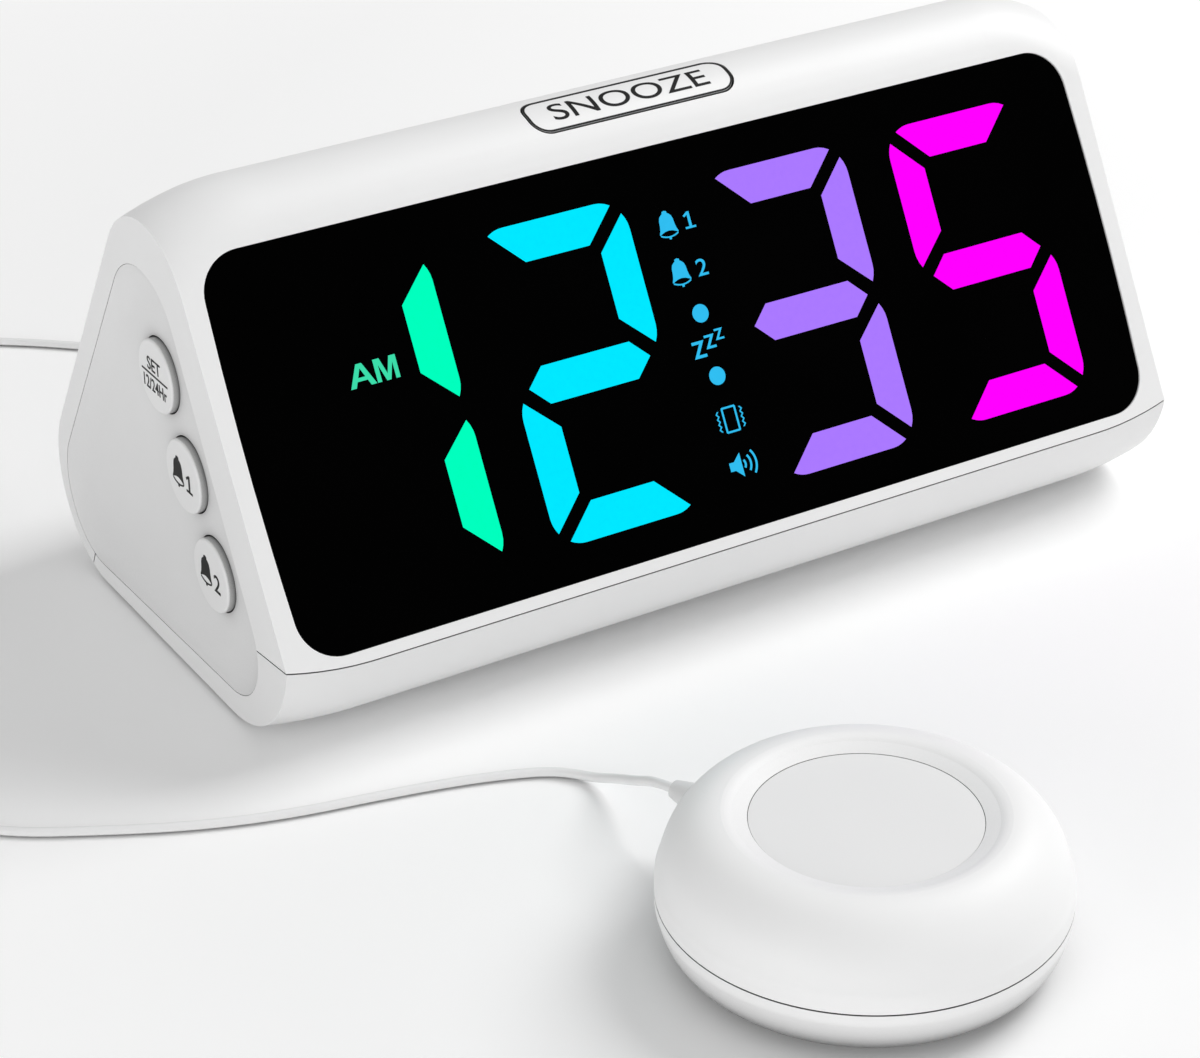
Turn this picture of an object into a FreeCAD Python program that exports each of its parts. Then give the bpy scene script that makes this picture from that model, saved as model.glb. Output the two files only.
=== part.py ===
import FreeCAD, Part
import math
import os

# A bed shaker alarm clock: a wedge-shaped digital clock, a round shaker puck and the thin cord between them.
# Millimetres. The origin is on the table, at the middle of the ground that the clock and its puck span.
# X runs along the display, the display faces -Y and leans back, and Z is up.

os.makedirs("parts", exist_ok=True)
Vec = FreeCAD.Vector

# Whole clock
body_length = 200.0
body_height = 95.0
foot_height = 0.8
front_tilt_deg = 60.7
wall = 2.4
front_wall = 3.6
cut_overrun = 3.0
slide_gap = 0.3
seat_gap = 0.1

# Cross-section of the middle of the clock
crease_y = 13.0
crease_z = 19.3
mid_top_radius = 13.5
mid_rear_y = 116.5
mid_rear_radius = 21.5
mid_chin_radius = 21.5

# Cross-section at the two ends, which the last stretch blends into
crease_rise = 2.3
end_drop = 4.8
end_top_radius = 18.5
end_rear_step = 1.9
end_rear_radius = 19.3
end_chin_radius = 24.5
blend_length = 20.0
station_shares = (0.0, 0.1, 0.325, 0.55, 0.775, 1.0)
blend_shares = (0.0, 0.0, 0.0625, 0.25, 0.5625, 1.0)

# Parting between the housing and the tray
parting_gap = 0.25
parting_shelf = 21.0
parting_drop = 10.3
parting_rear_margin = 18.5
parting_rear_run = 6.0

# Dished end panels
end_rim_depth = 5.0
end_ledge_depth = 1.5
end_ledge_width = 2.0
panel_top_offset = 2.4
panel_top_below = 24.4
panel_top_radius = 14.3
panel_rear_ahead = 18.2
panel_rear_above = 17.8
panel_rear_radius = 14.3
panel_front_behind = 23.9
panel_front_above = 17.1
panel_front_radius = 12.0
dish_depth = 2.1
dish_width = 9.0
dish_width_shares = (-0.067, 0.133, 0.39, 0.78, 1.0)
dish_depth_shares = (-0.18, 0.36, 0.74, 0.95, 1.0)

# Buttons in the end panels
button_radius = 7.2
button_proud = 1.6
button_travel = 0.5
button_middle_y = 54.7
button_middle_z = 42.6
button_pitch = 18.95
button_wall = 1.5
button_flange = 1.4
button_flange_depth = 1.2
button_round = 0.5
stem_radius = 1.6
stem_length = 1.2

# Switch boards behind the end panels
board_thickness = 1.6
switch_size = 6.0
switch_depth = 3.4
plunger_radius = 1.7
plunger_length = 0.85
side_board_width = 16.0
side_board_margin = 15.0
side_post_radius = 2.6
side_post_margin = 12.0

# Screws of the boards
screw_radius = 1.2
screw_head_radius = 2.3
screw_head_depth = 1.4
screw_grip = 5.0
thread_gap = 0.05

# Display window and its pocket
window_side_margin = 4.2
window_bow = 0.6
window_height = 75.0
window_bottom = 2.5
window_corner = 8.3
window_thickness = 1.6
window_recess = 0.4
window_ledge = 3.0
window_land = 1.2

# Digits, measured along the display and up its slope
digit_height = 60.3
digit_width_share = 0.161
digit_bottom = 9.2
digit_left_shares = (-0.4195, -0.20725, 0.043, 0.255)
digit_shows = ("1", "2", "3", "5")
bar_width = 7.25
bar_corner = 6.2
bar_gap = 3.9
dot_radius = 1.77
dot_x = 0.75
dot_heights = (44.5, 32.2)

# Light block and display board
reflector_length_share = 0.86
reflector_bottom = 6.5
reflector_top = 72.0
reflector_depth = 8.0
cell_depth = 6.0
display_board_length_share = 0.89
display_board_bottom = 1.0
display_board_top = 80.0
display_notch = 68.0
display_post_radius = 2.2
display_post_low = 3.3
display_post_high = 76.7
display_post_lows = (-40.0, 40.0)
display_post_highs = (-62.0, 62.0)

# Snooze key in the top edge
key_length = 45.5
key_tilt_deg = 17.0
key_chord = 9.7
key_corner = 3.9
key_gap = 0.4
key_travel = 0.8
key_height = 4.8
key_wall = 1.6
key_flange = 1.3
key_flange_depth = 1.0
snooze_board_length = 62.0
snooze_board_width = 9.0
snooze_post_x = 28.0
snooze_post_radius = 2.5
snooze_switch_depth = 3.4

# Tongues that hold the chin behind the front frame
tongue_width = 16.0
tongue_places = (-65.0, 0.0, 65.0)
tongue_thickness = 1.2
tongue_rise = 2.2
tongue_root = 4.6

# Rear screw posts
post_x = 70.0
post_y = 91.0
post_radius = 3.6
base_screw_radius = 1.5
base_screw_head_radius = 3.0
base_screw_head_depth = 1.8
base_screw_length = 14.0
post_bottom = 6.4

# Feet
foot_radius = 6.0
foot_thickness = 1.6
foot_end_margin = 20.0
foot_front_y = 38.0
foot_rear_y = 88.0

# Main board on the tray
main_board_length = 104.0
main_board_width = 50.0
main_board_y = 67.0
main_board_z = 11.0
main_post_radius = 3.0
main_post_inset = 4.0
chip_length = 14.0
chip_width = 9.0
chip_depth = 1.8
chip_places = (-30.0, -6.0, 30.0)

# Backup battery bay in the tray
bay_x = 24.0
bay_y = 68.0
bay_length = 31.0
bay_width = 25.0
bay_wall = 1.6
bay_height = 7.4
bay_ledge = 1.4
door_thickness = 1.4
cell_radius = 10.0
cell_thickness = 3.2
cell_offset = 3.4

# Socket pocket in the rear
pocket_x = -27.0
pocket_length = 46.0
pocket_bottom = 11.0
pocket_top = 33.0
pocket_corner = 4.0
pocket_floor_y = 109.0
pocket_wall = 2.2
dc_x = -38.0
plug_x = -14.0
jack_z = 22.0
dc_face_radius = 4.6
dc_bore_radius = 3.1
dc_bore_depth = 9.5
dc_pin_radius = 1.0
dc_pin_length = 9.0
dc_body_width = 9.0
dc_body_length = 14.0
jack_face_radius = 4.0
jack_body_width = 8.0
jack_body_length = 13.0

# Speaker behind the rear slope
speaker_x = 34.0
speaker_along = 30.0
speaker_radius = 20.0
speaker_flange_depth = 1.6
speaker_basket_depth = 8.0
speaker_back_radius = 11.0
speaker_metal = 0.8
magnet_radius = 10.0
magnet_depth = 5.0
speaker_ear_length = 54.0
speaker_ear_width = 9.0
speaker_screw_x = 23.5
grille_radius = 17.0
slot_width = 2.0
slot_pitch = 4.6
slot_count = 7

# Shaker puck
puck_x = -42.2
puck_y = -81.7
puck_radius = 34.8
puck_wall = 2.2
seam_z = 11.0
seam_gap = 0.3
crest_radius = 23.9
crest_z = 26.3
disc_radius = 19.4
disc_z = 24.7
disc_thickness = 1.6
rim_slope_outer = 21.9
rim_slope_drop = 0.6
puck_base_radius = 28.0
puck_base_z = 0.8
pad_width = 5.0
pad_thickness = 1.8
puck_curve_steps = 6
seat_wall_share = 0.7
crest_bend_share = 0.25
puck_post_radius = 2.8
puck_post_circle = 25.5
puck_post_turn_degs = (90.0, 210.0, 330.0)
puck_screw_length = 13.0
puck_boss_share = 0.75

# Shaker motor
motor_radius = 8.0
motor_length = 24.0
motor_front = 7.0
motor_axis_z = 12.0
motor_nose_radius = 3.0
motor_nose_length = 1.4
motor_turn_deg = 30.0
shaft_radius = 1.0
shaft_gap = 0.05
shaft_depth = 4.0
shaft_length = 14.0
weight_radius = 7.6
weight_length = 8.0
weight_start = 3.2
weight_hub = 2.6
saddle_width = 13.0
saddle_shares = (0.2, 0.8)
saddle_gap = 0.1
clamp_width = 7.0
clamp_thickness = 1.0
clamp_foot = 6.0

# Cord gland on the puck
gland_turn_deg = 107.0
gland_z = 12.6
gland_base_radius = 3.2
gland_tip_radius = 1.7
gland_reach = 41.2
gland_collar_radius = 4.2
gland_collar_depth = 1.4
gland_fit = 0.05

# Cord and plug
cord_radius = 0.9
bend_share = 0.45
plug_radius = 4.0
plug_length = 15.0
relief_length = 9.0
relief_tip_radius = 1.5
relief_root_share = 0.75
plug_round = 0.7
pin_radius = 1.75
pin_length = 10.0

# Cord's route on the table, from the puck to the coil and from the coil to the plug
front_route = [
    (-57.2, -29.0, 8.2),
    (-58.2, -21.2, 3.5),
    (-60.5, -13.0, 0.95),
    (-66.5, -7.0, 0.95),
    (-76.5, -3.9, 0.95),
    (-91.7, 0.1, 0.95),
    (-106.0, 3.4, 0.95),
    (-121.5, 7.8, 0.95),
    (-137.4, 15.0, 0.95),
    (-152.5, 23.8, 0.95),
    (-163.5, 37.0, 0.95),
    (-167.5, 55.0, 0.95),
    (-165.0, 73.5, 0.95),
    (-157.5, 91.0, 0.95),
]
rear_route = [
    (-151.0, 152.0, 4.2),
    (-146.5, 166.5, 0.95),
    (-138.0, 182.0, 0.95),
    (-126.0, 196.5, 0.95),
    (-111.5, 208.0, 0.95),
    (-95.5, 213.5, 0.95),
    (-81.5, 211.5, 0.95),
    (-69.5, 202.8, 0.95),
    (-57.0, 191.5, 0.95),
    (-44.5, 183.0, 0.95),
    (-33.5, 174.5, 0.95),
    (-24.5, 166.0, 2.6),
    (-18.2, 158.0, 8.6),
    (-14.9, 150.0, 15.4),
]
first_run = 6.0
last_run = 9.2
coil_entry_run = 14.0
coil_leave_run = 12.0

# Coil of the cord's spare length: flat spirals in and out, one over the other
coil_x = -136.0
coil_y = 124.0
coil_z = 0.95
coil_inner_radius = 6.0
coil_turn_pitch = 2.7
coil_layer_pitch = 2.5
coil_layer_turns = 3.5
coil_layers = 4
coil_sample_count = 12

base_z = foot_height
half_length = body_length / 2
window_width = body_length - window_side_margin * 2
digit_width = body_length * digit_width_share
digit_lefts = [body_length * share for share in digit_left_shares]
reflector_length = body_length * reflector_length_share
display_board_length = body_length * display_board_length_share
foot_x = half_length - foot_end_margin
reach = body_length
along_edge_share = 0.99
tilt = math.radians(front_tilt_deg)
cos_tilt = math.cos(tilt)
sin_tilt = math.sin(tilt)
X_AXIS = Vec(1, 0, 0)
Y_AXIS = Vec(0, 1, 0)
Z_AXIS = Vec(0, 0, 1)
UP_SLOPE = Vec(0, cos_tilt, sin_tilt)
INTO_FRONT = Vec(0, sin_tilt, -cos_tilt)


# Small helpers
def mix(middle, end, share):
    return middle + (end - middle) * share


def box(x0, x1, y0, y1, z0, z1):
    return Part.makeBox(x1 - x0, y1 - y0, z1 - z0, Vec(x0, y0, z0))


def rod(start, direction, length, radius):
    return Part.makeCylinder(radius, length, start, direction)


def yz_arc(x, centre, radius, start, end):
    def at(angle):
        return Vec(x, centre[0] + radius * math.cos(angle), centre[1] + radius * math.sin(angle))
    return Part.Arc(at(start), at((start + end) / 2), at(end)).toShape()


def line(start, end):
    return Part.LineSegment(start, end).toShape()


def polygon(points):
    return Part.Face(Part.makePolygon(points + [points[0]]))


def mirrored(shape):
    return shape.mirror(Vec(0, 0, 0), X_AXIS)


def front_point(x, up, depth):
    """A point by its place along the display, up its slope from the crease, and behind its face."""
    return Vec(x, crease_y, crease_z) + UP_SLOPE * up + INTO_FRONT * depth


def front_block(x0, x1, up0, up1, depth0, depth1):
    corners = [(x0, up0), (x1, up0), (x1, up1), (x0, up1)]
    face = polygon([front_point(x, up, depth0) for x, up in corners])
    return face.extrude(INTO_FRONT * (depth1 - depth0))


def front_rod(x, up, depth0, depth1, radius):
    return rod(front_point(x, up, depth0), INTO_FRONT, depth1 - depth0, radius)


# Cross-section of the clock at a share of the blend between middle and end
def section(share):
    rise = crease_rise * share
    crease = (crease_y + cos_tilt * rise, crease_z + sin_tilt * rise)
    top_radius = mix(mid_top_radius, end_top_radius, share)
    rear_radius = mix(mid_rear_radius, end_rear_radius, share)
    chin_radius = mix(mid_chin_radius, end_chin_radius, share)
    top_z = body_height - end_drop * share - top_radius
    along = (top_z + top_radius * cos_tilt - crease[1]) / sin_tilt
    top = (crease[0] + along * cos_tilt + top_radius * sin_tilt, top_z)
    rear = (mid_rear_y - end_rear_step * share - rear_radius, base_z + rear_radius)
    chin_run = math.sqrt(chin_radius ** 2 - (crease[1] - base_z - chin_radius) ** 2)
    chin = (crease[0] + chin_run, base_z + chin_radius)
    span = math.hypot(rear[0] - top[0], rear[1] - top[1])
    heading = math.atan2(rear[1] - top[1], rear[0] - top[0])
    slope_normal = heading + math.acos((top_radius - rear_radius) / span)
    return crease, top, top_radius, rear, rear_radius, chin, chin_radius, slope_normal


def body_wire(x, share, inset):
    crease, top, top_radius, rear, rear_radius, chin, chin_radius, normal = section(share)
    top_in = top_radius - inset
    rear_in = rear_radius - inset
    chin_in = chin_radius - inset
    start = (crease[0] + sin_tilt * inset, crease[1] - cos_tilt * inset)
    off = (start[0] - chin[0], start[1] - chin[1])
    half = off[0] * cos_tilt + off[1] * sin_tilt
    slide = -half - math.sqrt(half ** 2 - off[0] ** 2 - off[1] ** 2 + chin_in ** 2)
    first = Vec(x, start[0] + slide * cos_tilt, start[1] + slide * sin_tilt)
    chin_end = math.atan2(first.z - chin[1], first.y - chin[0])
    chin_end = chin_end - 2 * math.pi if chin_end > 0 else chin_end
    front_top = math.pi / 2 + tilt
    top_arc = yz_arc(x, top, top_in, front_top, normal)
    rear_arc = yz_arc(x, rear, rear_in, normal, -math.pi / 2)
    chin_arc = yz_arc(x, chin, chin_in, -math.pi / 2, chin_end)
    edges = [
        line(first, top_arc.Vertexes[0].Point),
        top_arc,
        line(top_arc.Vertexes[-1].Point, rear_arc.Vertexes[0].Point),
        rear_arc,
        line(rear_arc.Vertexes[-1].Point, chin_arc.Vertexes[0].Point),
        chin_arc,
    ]
    return Part.Wire(edges)


def long_body(wire_at):
    """An even middle with a smooth blend into each end."""
    flat = half_length - blend_length
    middle = Part.Face(wire_at(-flat, 0.0)).extrude(Vec(2 * flat, 0, 0))
    wires = []
    for place, share in zip(station_shares, blend_shares):
        wires.append(wire_at(flat + blend_length * place, share))
    right = Part.makeLoft(wires, True, False)
    return middle.fuse([right, mirrored(right)])


def parting_wire(x, share, shift):
    crease = section(share)[0]
    shelf_y = crease_y + parting_shelf
    rear_y = mid_rear_y - parting_rear_margin
    below = -cut_overrun
    front_y = crease_y - cut_overrun * 2
    points = [
        (front_y, crease[1]),
        (crease[0], crease[1]),
        (shelf_y, crease_z),
        (shelf_y, crease_z - parting_drop),
        (rear_y, crease_z - parting_drop),
        (rear_y + parting_rear_run, below),
        (front_y, below),
    ]
    return Part.makePolygon([Vec(x, y + shift, z + shift) for y, z in points + points[:1]])


def belt_wire(x, inset):
    """The outline of an end panel: three arcs and the lines that touch them."""
    crease, top, top_radius, rear, rear_radius, chin, chin_radius, normal = section(1.0)
    end_rear_y = mid_rear_y - end_rear_step
    circles = [
        (crease[0] + panel_front_behind, base_z + panel_front_above, panel_front_radius - inset),
        (top[0] + panel_top_offset, body_height - end_drop - panel_top_below, panel_top_radius - inset),
        (end_rear_y - panel_rear_ahead, base_z + panel_rear_above, panel_rear_radius - inset),
    ]
    normals = []
    for index, (y0, z0, r0) in enumerate(circles):
        y1, z1, r1 = circles[(index + 1) % len(circles)]
        heading = math.atan2(z1 - z0, y1 - y0)
        normals.append(heading + math.acos((r0 - r1) / math.hypot(y1 - y0, z1 - z0)))
    edges = []
    for index, (y0, z0, r0) in enumerate(circles):
        y1, z1, r1 = circles[(index + 1) % len(circles)]
        arrive = normals[index - 1]
        leave = normals[index]
        while arrive < leave:
            arrive += 2 * math.pi
        edges.append(yz_arc(x, (y0, z0), r0, arrive, leave))
        start = Vec(x, y0 + r0 * math.cos(leave), z0 + r0 * math.sin(leave))
        end = Vec(x, y1 + r1 * math.cos(leave), z1 + r1 * math.sin(leave))
        edges.append(line(start, end))
    return Part.Wire(edges)


def belt_prism(x0, x1, inset):
    return Part.Face(belt_wire(x0, inset)).extrude(Vec(x1 - x0, 0, 0))


# Display outline, with slightly bowed sides and round corners
def display_prism(inset, depth0, depth1):
    half = window_width / 2 - inset
    low = window_bottom + inset
    high = window_bottom + window_height - inset
    corner = window_corner - inset
    middle = (low + high) / 2
    diagonal = corner * (1 - math.sqrt(0.5))

    def at(x, up):
        return front_point(x, up, depth0)

    def bend(a, b, c):
        return Part.Arc(at(*a), at(*b), at(*c)).toShape()
    right = half + window_bow
    edges = [
        line(at(corner - half, low), at(half - corner, low)),
        bend((half - corner, low), (half - diagonal, low + diagonal), (half, low + corner)),
        bend((half, low + corner), (right, middle), (half, high - corner)),
        bend((half, high - corner), (half - diagonal, high - diagonal), (half - corner, high)),
        line(at(half - corner, high), at(corner - half, high)),
        bend((corner - half, high), (diagonal - half, high - diagonal), (-half, high - corner)),
        bend((-half, high - corner), (-right, middle), (-half, low + corner)),
        bend((-half, low + corner), (diagonal - half, low + diagonal), (corner - half, low)),
    ]
    return Part.Face(Part.Wire(edges)).extrude(INTO_FRONT * (depth1 - depth0))


# Digit bars
def bar_tip():
    """How far a bar's tip lies from the digit's two edges at a mitred corner."""
    offset = bar_gap / 2
    reach = 2 * bar_corner + offset
    far = (reach - math.sqrt(reach ** 2 - 2 * (bar_corner + offset) ** 2)) / 2
    return far, far - offset


def bar_face(name, left, depth):
    """One bar of a seven-bar digit: t, m, b across, tl, tr, bl, br upright."""
    far, near = bar_tip()
    half = digit_height / 2
    offset = bar_gap / 2

    def place(x, up):
        x = digit_width - x if name in ("tr", "br") else x
        up = digit_height - up if name in ("b", "bl", "br") else up
        return front_point(left + x, digit_bottom + up, depth)

    def corner_arc(centre, start_deg, end_deg):
        ring = []
        for degrees in (start_deg, (start_deg + end_deg) / 2, end_deg):
            angle = math.radians(degrees)
            across = centre[0] + bar_corner * math.cos(angle)
            ring.append(place(across, centre[1] + bar_corner * math.sin(angle)))
        return Part.Arc(*ring).toShape()

    if name == "m":
        tip = bar_width / 2
        points = [(far, half), (far + tip, half + tip), (digit_width - far - tip, half + tip)]
        points += [(digit_width - far, half), (digit_width - far - tip, half - tip), (far + tip, half - tip)]
        return polygon([place(x, up) for x, up in points])
    lean = math.degrees(math.acos((bar_corner - far) / bar_corner))
    if name in ("t", "b"):
        inner = bar_width + offset
        low = digit_height - bar_width
        centre = (bar_corner, digit_height - bar_corner)
        other = (digit_width - bar_corner, digit_height - bar_corner)
        left_arc = corner_arc(centre, 180 - lean, 90)
        right_arc = corner_arc(other, 90, lean)
        left_tip = left_arc.Vertexes[0].Point
        left_flat = left_arc.Vertexes[-1].Point
        right_flat = right_arc.Vertexes[0].Point
        right_tip = right_arc.Vertexes[-1].Point
        edges = [left_arc, line(left_flat, right_flat), right_arc]
        edges.append(line(right_tip, place(digit_width - inner, low)))
        edges.append(line(place(digit_width - inner, low), place(inner, low)))
        edges.append(line(place(inner, low), left_tip))
        return Part.Face(Part.Wire(edges))
    top = digit_height - bar_width - offset
    foot = half + offset + bar_width - near
    centre = (bar_corner, digit_height - bar_corner)
    top_arc = corner_arc(centre, 180, 90 + lean)
    low_arc = corner_arc((bar_corner, half + offset + bar_corner), 270 - lean, 180)
    edges = [
        top_arc,
        line(top_arc.Vertexes[-1].Point, place(bar_width, top)),
        line(place(bar_width, top), place(bar_width, foot)),
        line(place(bar_width, foot), low_arc.Vertexes[0].Point),
        low_arc,
        line(low_arc.Vertexes[-1].Point, top_arc.Vertexes[0].Point),
    ]
    return Part.Face(Part.Wire(edges))


ALL_BARS = ("t", "m", "b", "tl", "tr", "bl", "br")
SHOWN_BARS = {"1": ("tr", "br"), "2": ("t", "tr", "m", "bl", "b"), "3": ("t", "tr", "m", "br", "b"),
              "5": ("t", "tl", "m", "br", "b")}


# The moulded body, as a solid, its hollow and the two halves
outer = long_body(lambda x, share: body_wire(x, share, 0.0))
hollow_end = half_length - end_rim_depth - end_ledge_depth
hollow = long_body(lambda x, share: body_wire(x, share, wall))
hollow = hollow.common(box(-hollow_end, hollow_end, -reach, reach, -reach, reach))
shell = outer.cut(hollow)
lower_keep = long_body(lambda x, share: parting_wire(x, share, parting_gap / 2 - parting_gap))
upper_cut = long_body(lambda x, share: parting_wire(x, share, parting_gap / 2))


def keep(name, shape):
    solids = shape.Solids
    if not shape.isValid() or not solids:
        print("CHECK", name, shape.isValid(), len(solids))
    volume = sum(solid.Volume for solid in solids)
    print(name, len(solids), "solids", round(volume, 1), "mm3")
    if len(solids) == 1:
        shape = solids[0]
    else:
        shape = Part.makeCompound(solids)
    shape.exportStep("parts/" + name + ".step")


# Places that several pieces share
rim_x = half_length - end_rim_depth
panel_back = rim_x + seat_gap
window_back = window_recess + window_thickness
reflector_front = window_back + seat_gap
board_depth = reflector_front + reflector_depth
mid_crease, mid_top, mid_top_r, mid_rear, mid_rear_r, mid_chin, mid_chin_r, slope_normal = section(0.0)
key_tilt = math.radians(key_tilt_deg)
KEY_OUT = Vec(0, -math.sin(key_tilt), math.cos(key_tilt))
KEY_SIDE = Vec(0, math.cos(key_tilt), math.sin(key_tilt))
key_centre = Vec(0, mid_top[0], mid_top[1])


def key_prism(half_long, half_wide, corner, low, high):
    """A rounded bar square to the snooze key's travel."""
    def at(x, side):
        return key_centre + X_AXIS * x + KEY_SIDE * side + KEY_OUT * low
    shape = polygon([at(-half_long, -half_wide), at(half_long, -half_wide), at(half_long, half_wide),
                     at(-half_long, half_wide)]).extrude(KEY_OUT * (high - low))
    edges = [edge for edge in shape.Edges if abs(edge.tangentAt(edge.FirstParameter).dot(KEY_OUT)) > along_edge_share]
    return shape.makeFillet(corner, edges) if corner > 0 else shape


# End panels, their buttons and the switch boards behind them
def button_centre(x, step):
    return Vec(x, button_middle_y, button_middle_z) + UP_SLOPE * (button_pitch * step)


def end_panel():
    panel = belt_prism(panel_back, half_length, 0.0)
    wires = []
    for width_share, depth_share in zip(dish_width_shares, dish_depth_shares):
        wires.append(belt_wire(half_length - dish_depth * depth_share, dish_width * width_share))
    dish = Part.makeLoft(wires, True, False)
    panel = panel.cut(dish)
    board_x = switch_board_x() + board_thickness
    for end in (-1, 1):
        place = button_centre(board_x, 0) + UP_SLOPE * (end * (button_pitch + side_post_margin))
        panel = panel.fuse(rod(place, X_AXIS, panel_back - board_x + seat_gap, side_post_radius))
        panel = panel.cut(rod(place - X_AXIS * cut_overrun, X_AXIS, cut_overrun + screw_grip,
                              screw_radius + thread_gap))
    for step in (-1, 0, 1):
        hole = rod(button_centre(rim_x - cut_overrun, step), X_AXIS, end_rim_depth + cut_overrun * 2,
                   button_radius + slide_gap)
        panel = panel.cut(hole)
    return panel


def button_face_x():
    return half_length - dish_depth + button_proud


def flange_front_x():
    return panel_back - slide_gap


def stem_end_x():
    return flange_front_x() - button_flange_depth - stem_length


def switch_board_x():
    return stem_end_x() - button_travel - thread_gap - plunger_length - switch_depth - board_thickness


def side_button(step):
    face_x = button_face_x()
    back_x = flange_front_x() - button_flange_depth
    cap = rod(button_centre(back_x, step), X_AXIS, face_x - back_x, button_radius)
    rim = [edge for edge in cap.Edges if abs(edge.CenterOfMass.x - face_x) < button_round]
    rim = [edge for edge in rim if edge.Length > button_radius]
    cap = cap.makeFillet(button_round, rim[:1])
    cap = cap.fuse(rod(button_centre(back_x, step), X_AXIS, button_flange_depth, button_radius + button_flange))
    bore = rod(button_centre(back_x - cut_overrun, step), X_AXIS, face_x - back_x + cut_overrun - button_wall,
               button_radius - button_wall)
    cap = cap.cut(bore)
    stem = rod(button_centre(stem_end_x(), step), X_AXIS, face_x - button_wall - stem_end_x(), stem_radius)
    return cap.fuse(stem)


def side_board():
    low_x = switch_board_x()
    half = button_pitch + side_board_margin
    wide = side_board_width / 2
    corners = [(-half, -wide), (half, -wide), (half, wide), (-half, wide)]
    points = [button_centre(low_x, 0) + UP_SLOPE * up + INTO_FRONT * side for up, side in corners]
    board = polygon(points).extrude(X_AXIS * board_thickness)
    for end in (-1, 1):
        place = button_centre(low_x - cut_overrun, 0) + UP_SLOPE * (end * (button_pitch + side_post_margin))
        board = board.cut(rod(place, X_AXIS, board_thickness + cut_overrun * 2, screw_radius + thread_gap))
    return board


def side_switches():
    low_x = switch_board_x() + board_thickness
    half = switch_size / 2
    switches = []
    for step in (-1, 0, 1):
        corners = [(-half, -half), (half, -half), (half, half), (-half, half)]
        points = [button_centre(low_x, step) + UP_SLOPE * up + INTO_FRONT * side for up, side in corners]
        body = polygon(points).extrude(X_AXIS * switch_depth)
        plunger = rod(button_centre(low_x + switch_depth, step), X_AXIS, plunger_length, plunger_radius)
        switches.append(body.fuse(plunger))
    return Part.makeCompound(switches)


def side_screws():
    low_x = switch_board_x()
    screws = []
    for end in (-1, 1):
        place = button_centre(low_x, 0) + UP_SLOPE * (end * (button_pitch + side_post_margin))
        head = rod(place - X_AXIS * screw_head_depth, X_AXIS, screw_head_depth, screw_head_radius)
        screws.append(head.fuse(rod(place, X_AXIS, board_thickness + screw_grip - thread_gap, screw_radius)))
    return Part.makeCompound(screws)


panel_solid = end_panel()
keep("end_panel_right", panel_solid)
keep("end_panel_left", mirrored(panel_solid))
left_names = {1: "set_button", 0: "alarm_1_button", -1: "alarm_2_button"}
right_names = {1: "plus_button", 0: "minus_button", -1: "light_button"}
for step in (1, 0, -1):
    button = side_button(step)
    keep(right_names[step], button)
    keep(left_names[step], mirrored(button))
side_pieces = (("side_board", side_board()), ("side_switches", side_switches()), ("side_screws", side_screws()))
for name, solid in side_pieces:
    keep(name + "_right", solid)
    keep(name + "_left", mirrored(solid))


# Speaker frame of reference on the rear slope
SLOPE_OUT = Vec(0, math.cos(slope_normal), math.sin(slope_normal))
SLOPE_DOWN = Vec(0, math.sin(slope_normal), -math.cos(slope_normal))
slope_start = Vec(0, mid_top[0], mid_top[1]) + SLOPE_OUT * mid_top_r


def slope_point(x, along, depth):
    return slope_start + X_AXIS * x + SLOPE_DOWN * along - SLOPE_OUT * depth


def stadium(centre, direction, normal, length, width, height):
    """A slot with round ends, along direction, cut along normal."""
    side = direction.cross(normal)
    half = (length - width) / 2
    r = width / 2
    a = centre - direction * half
    b = centre + direction * half
    edges = [
        line(a + side * r, b + side * r),
        Part.Arc(b + side * r, b + direction * r, b - side * r).toShape(),
        line(b - side * r, a - side * r),
        Part.Arc(a - side * r, a - direction * r, a + side * r).toShape(),
    ]
    return Part.Face(Part.Wire(edges)).extrude(normal * height)


# Housing
def rear_pocket(grow, floor_y, depth):
    half = pocket_length / 2 + grow
    solid = box(pocket_x - half, pocket_x + half, floor_y, floor_y + depth, pocket_bottom - grow,
                pocket_top + grow)
    edges = [edge for edge in solid.Edges if abs(edge.tangentAt(edge.FirstParameter).y) > along_edge_share]
    return solid.makeFillet(pocket_corner, edges)


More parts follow.
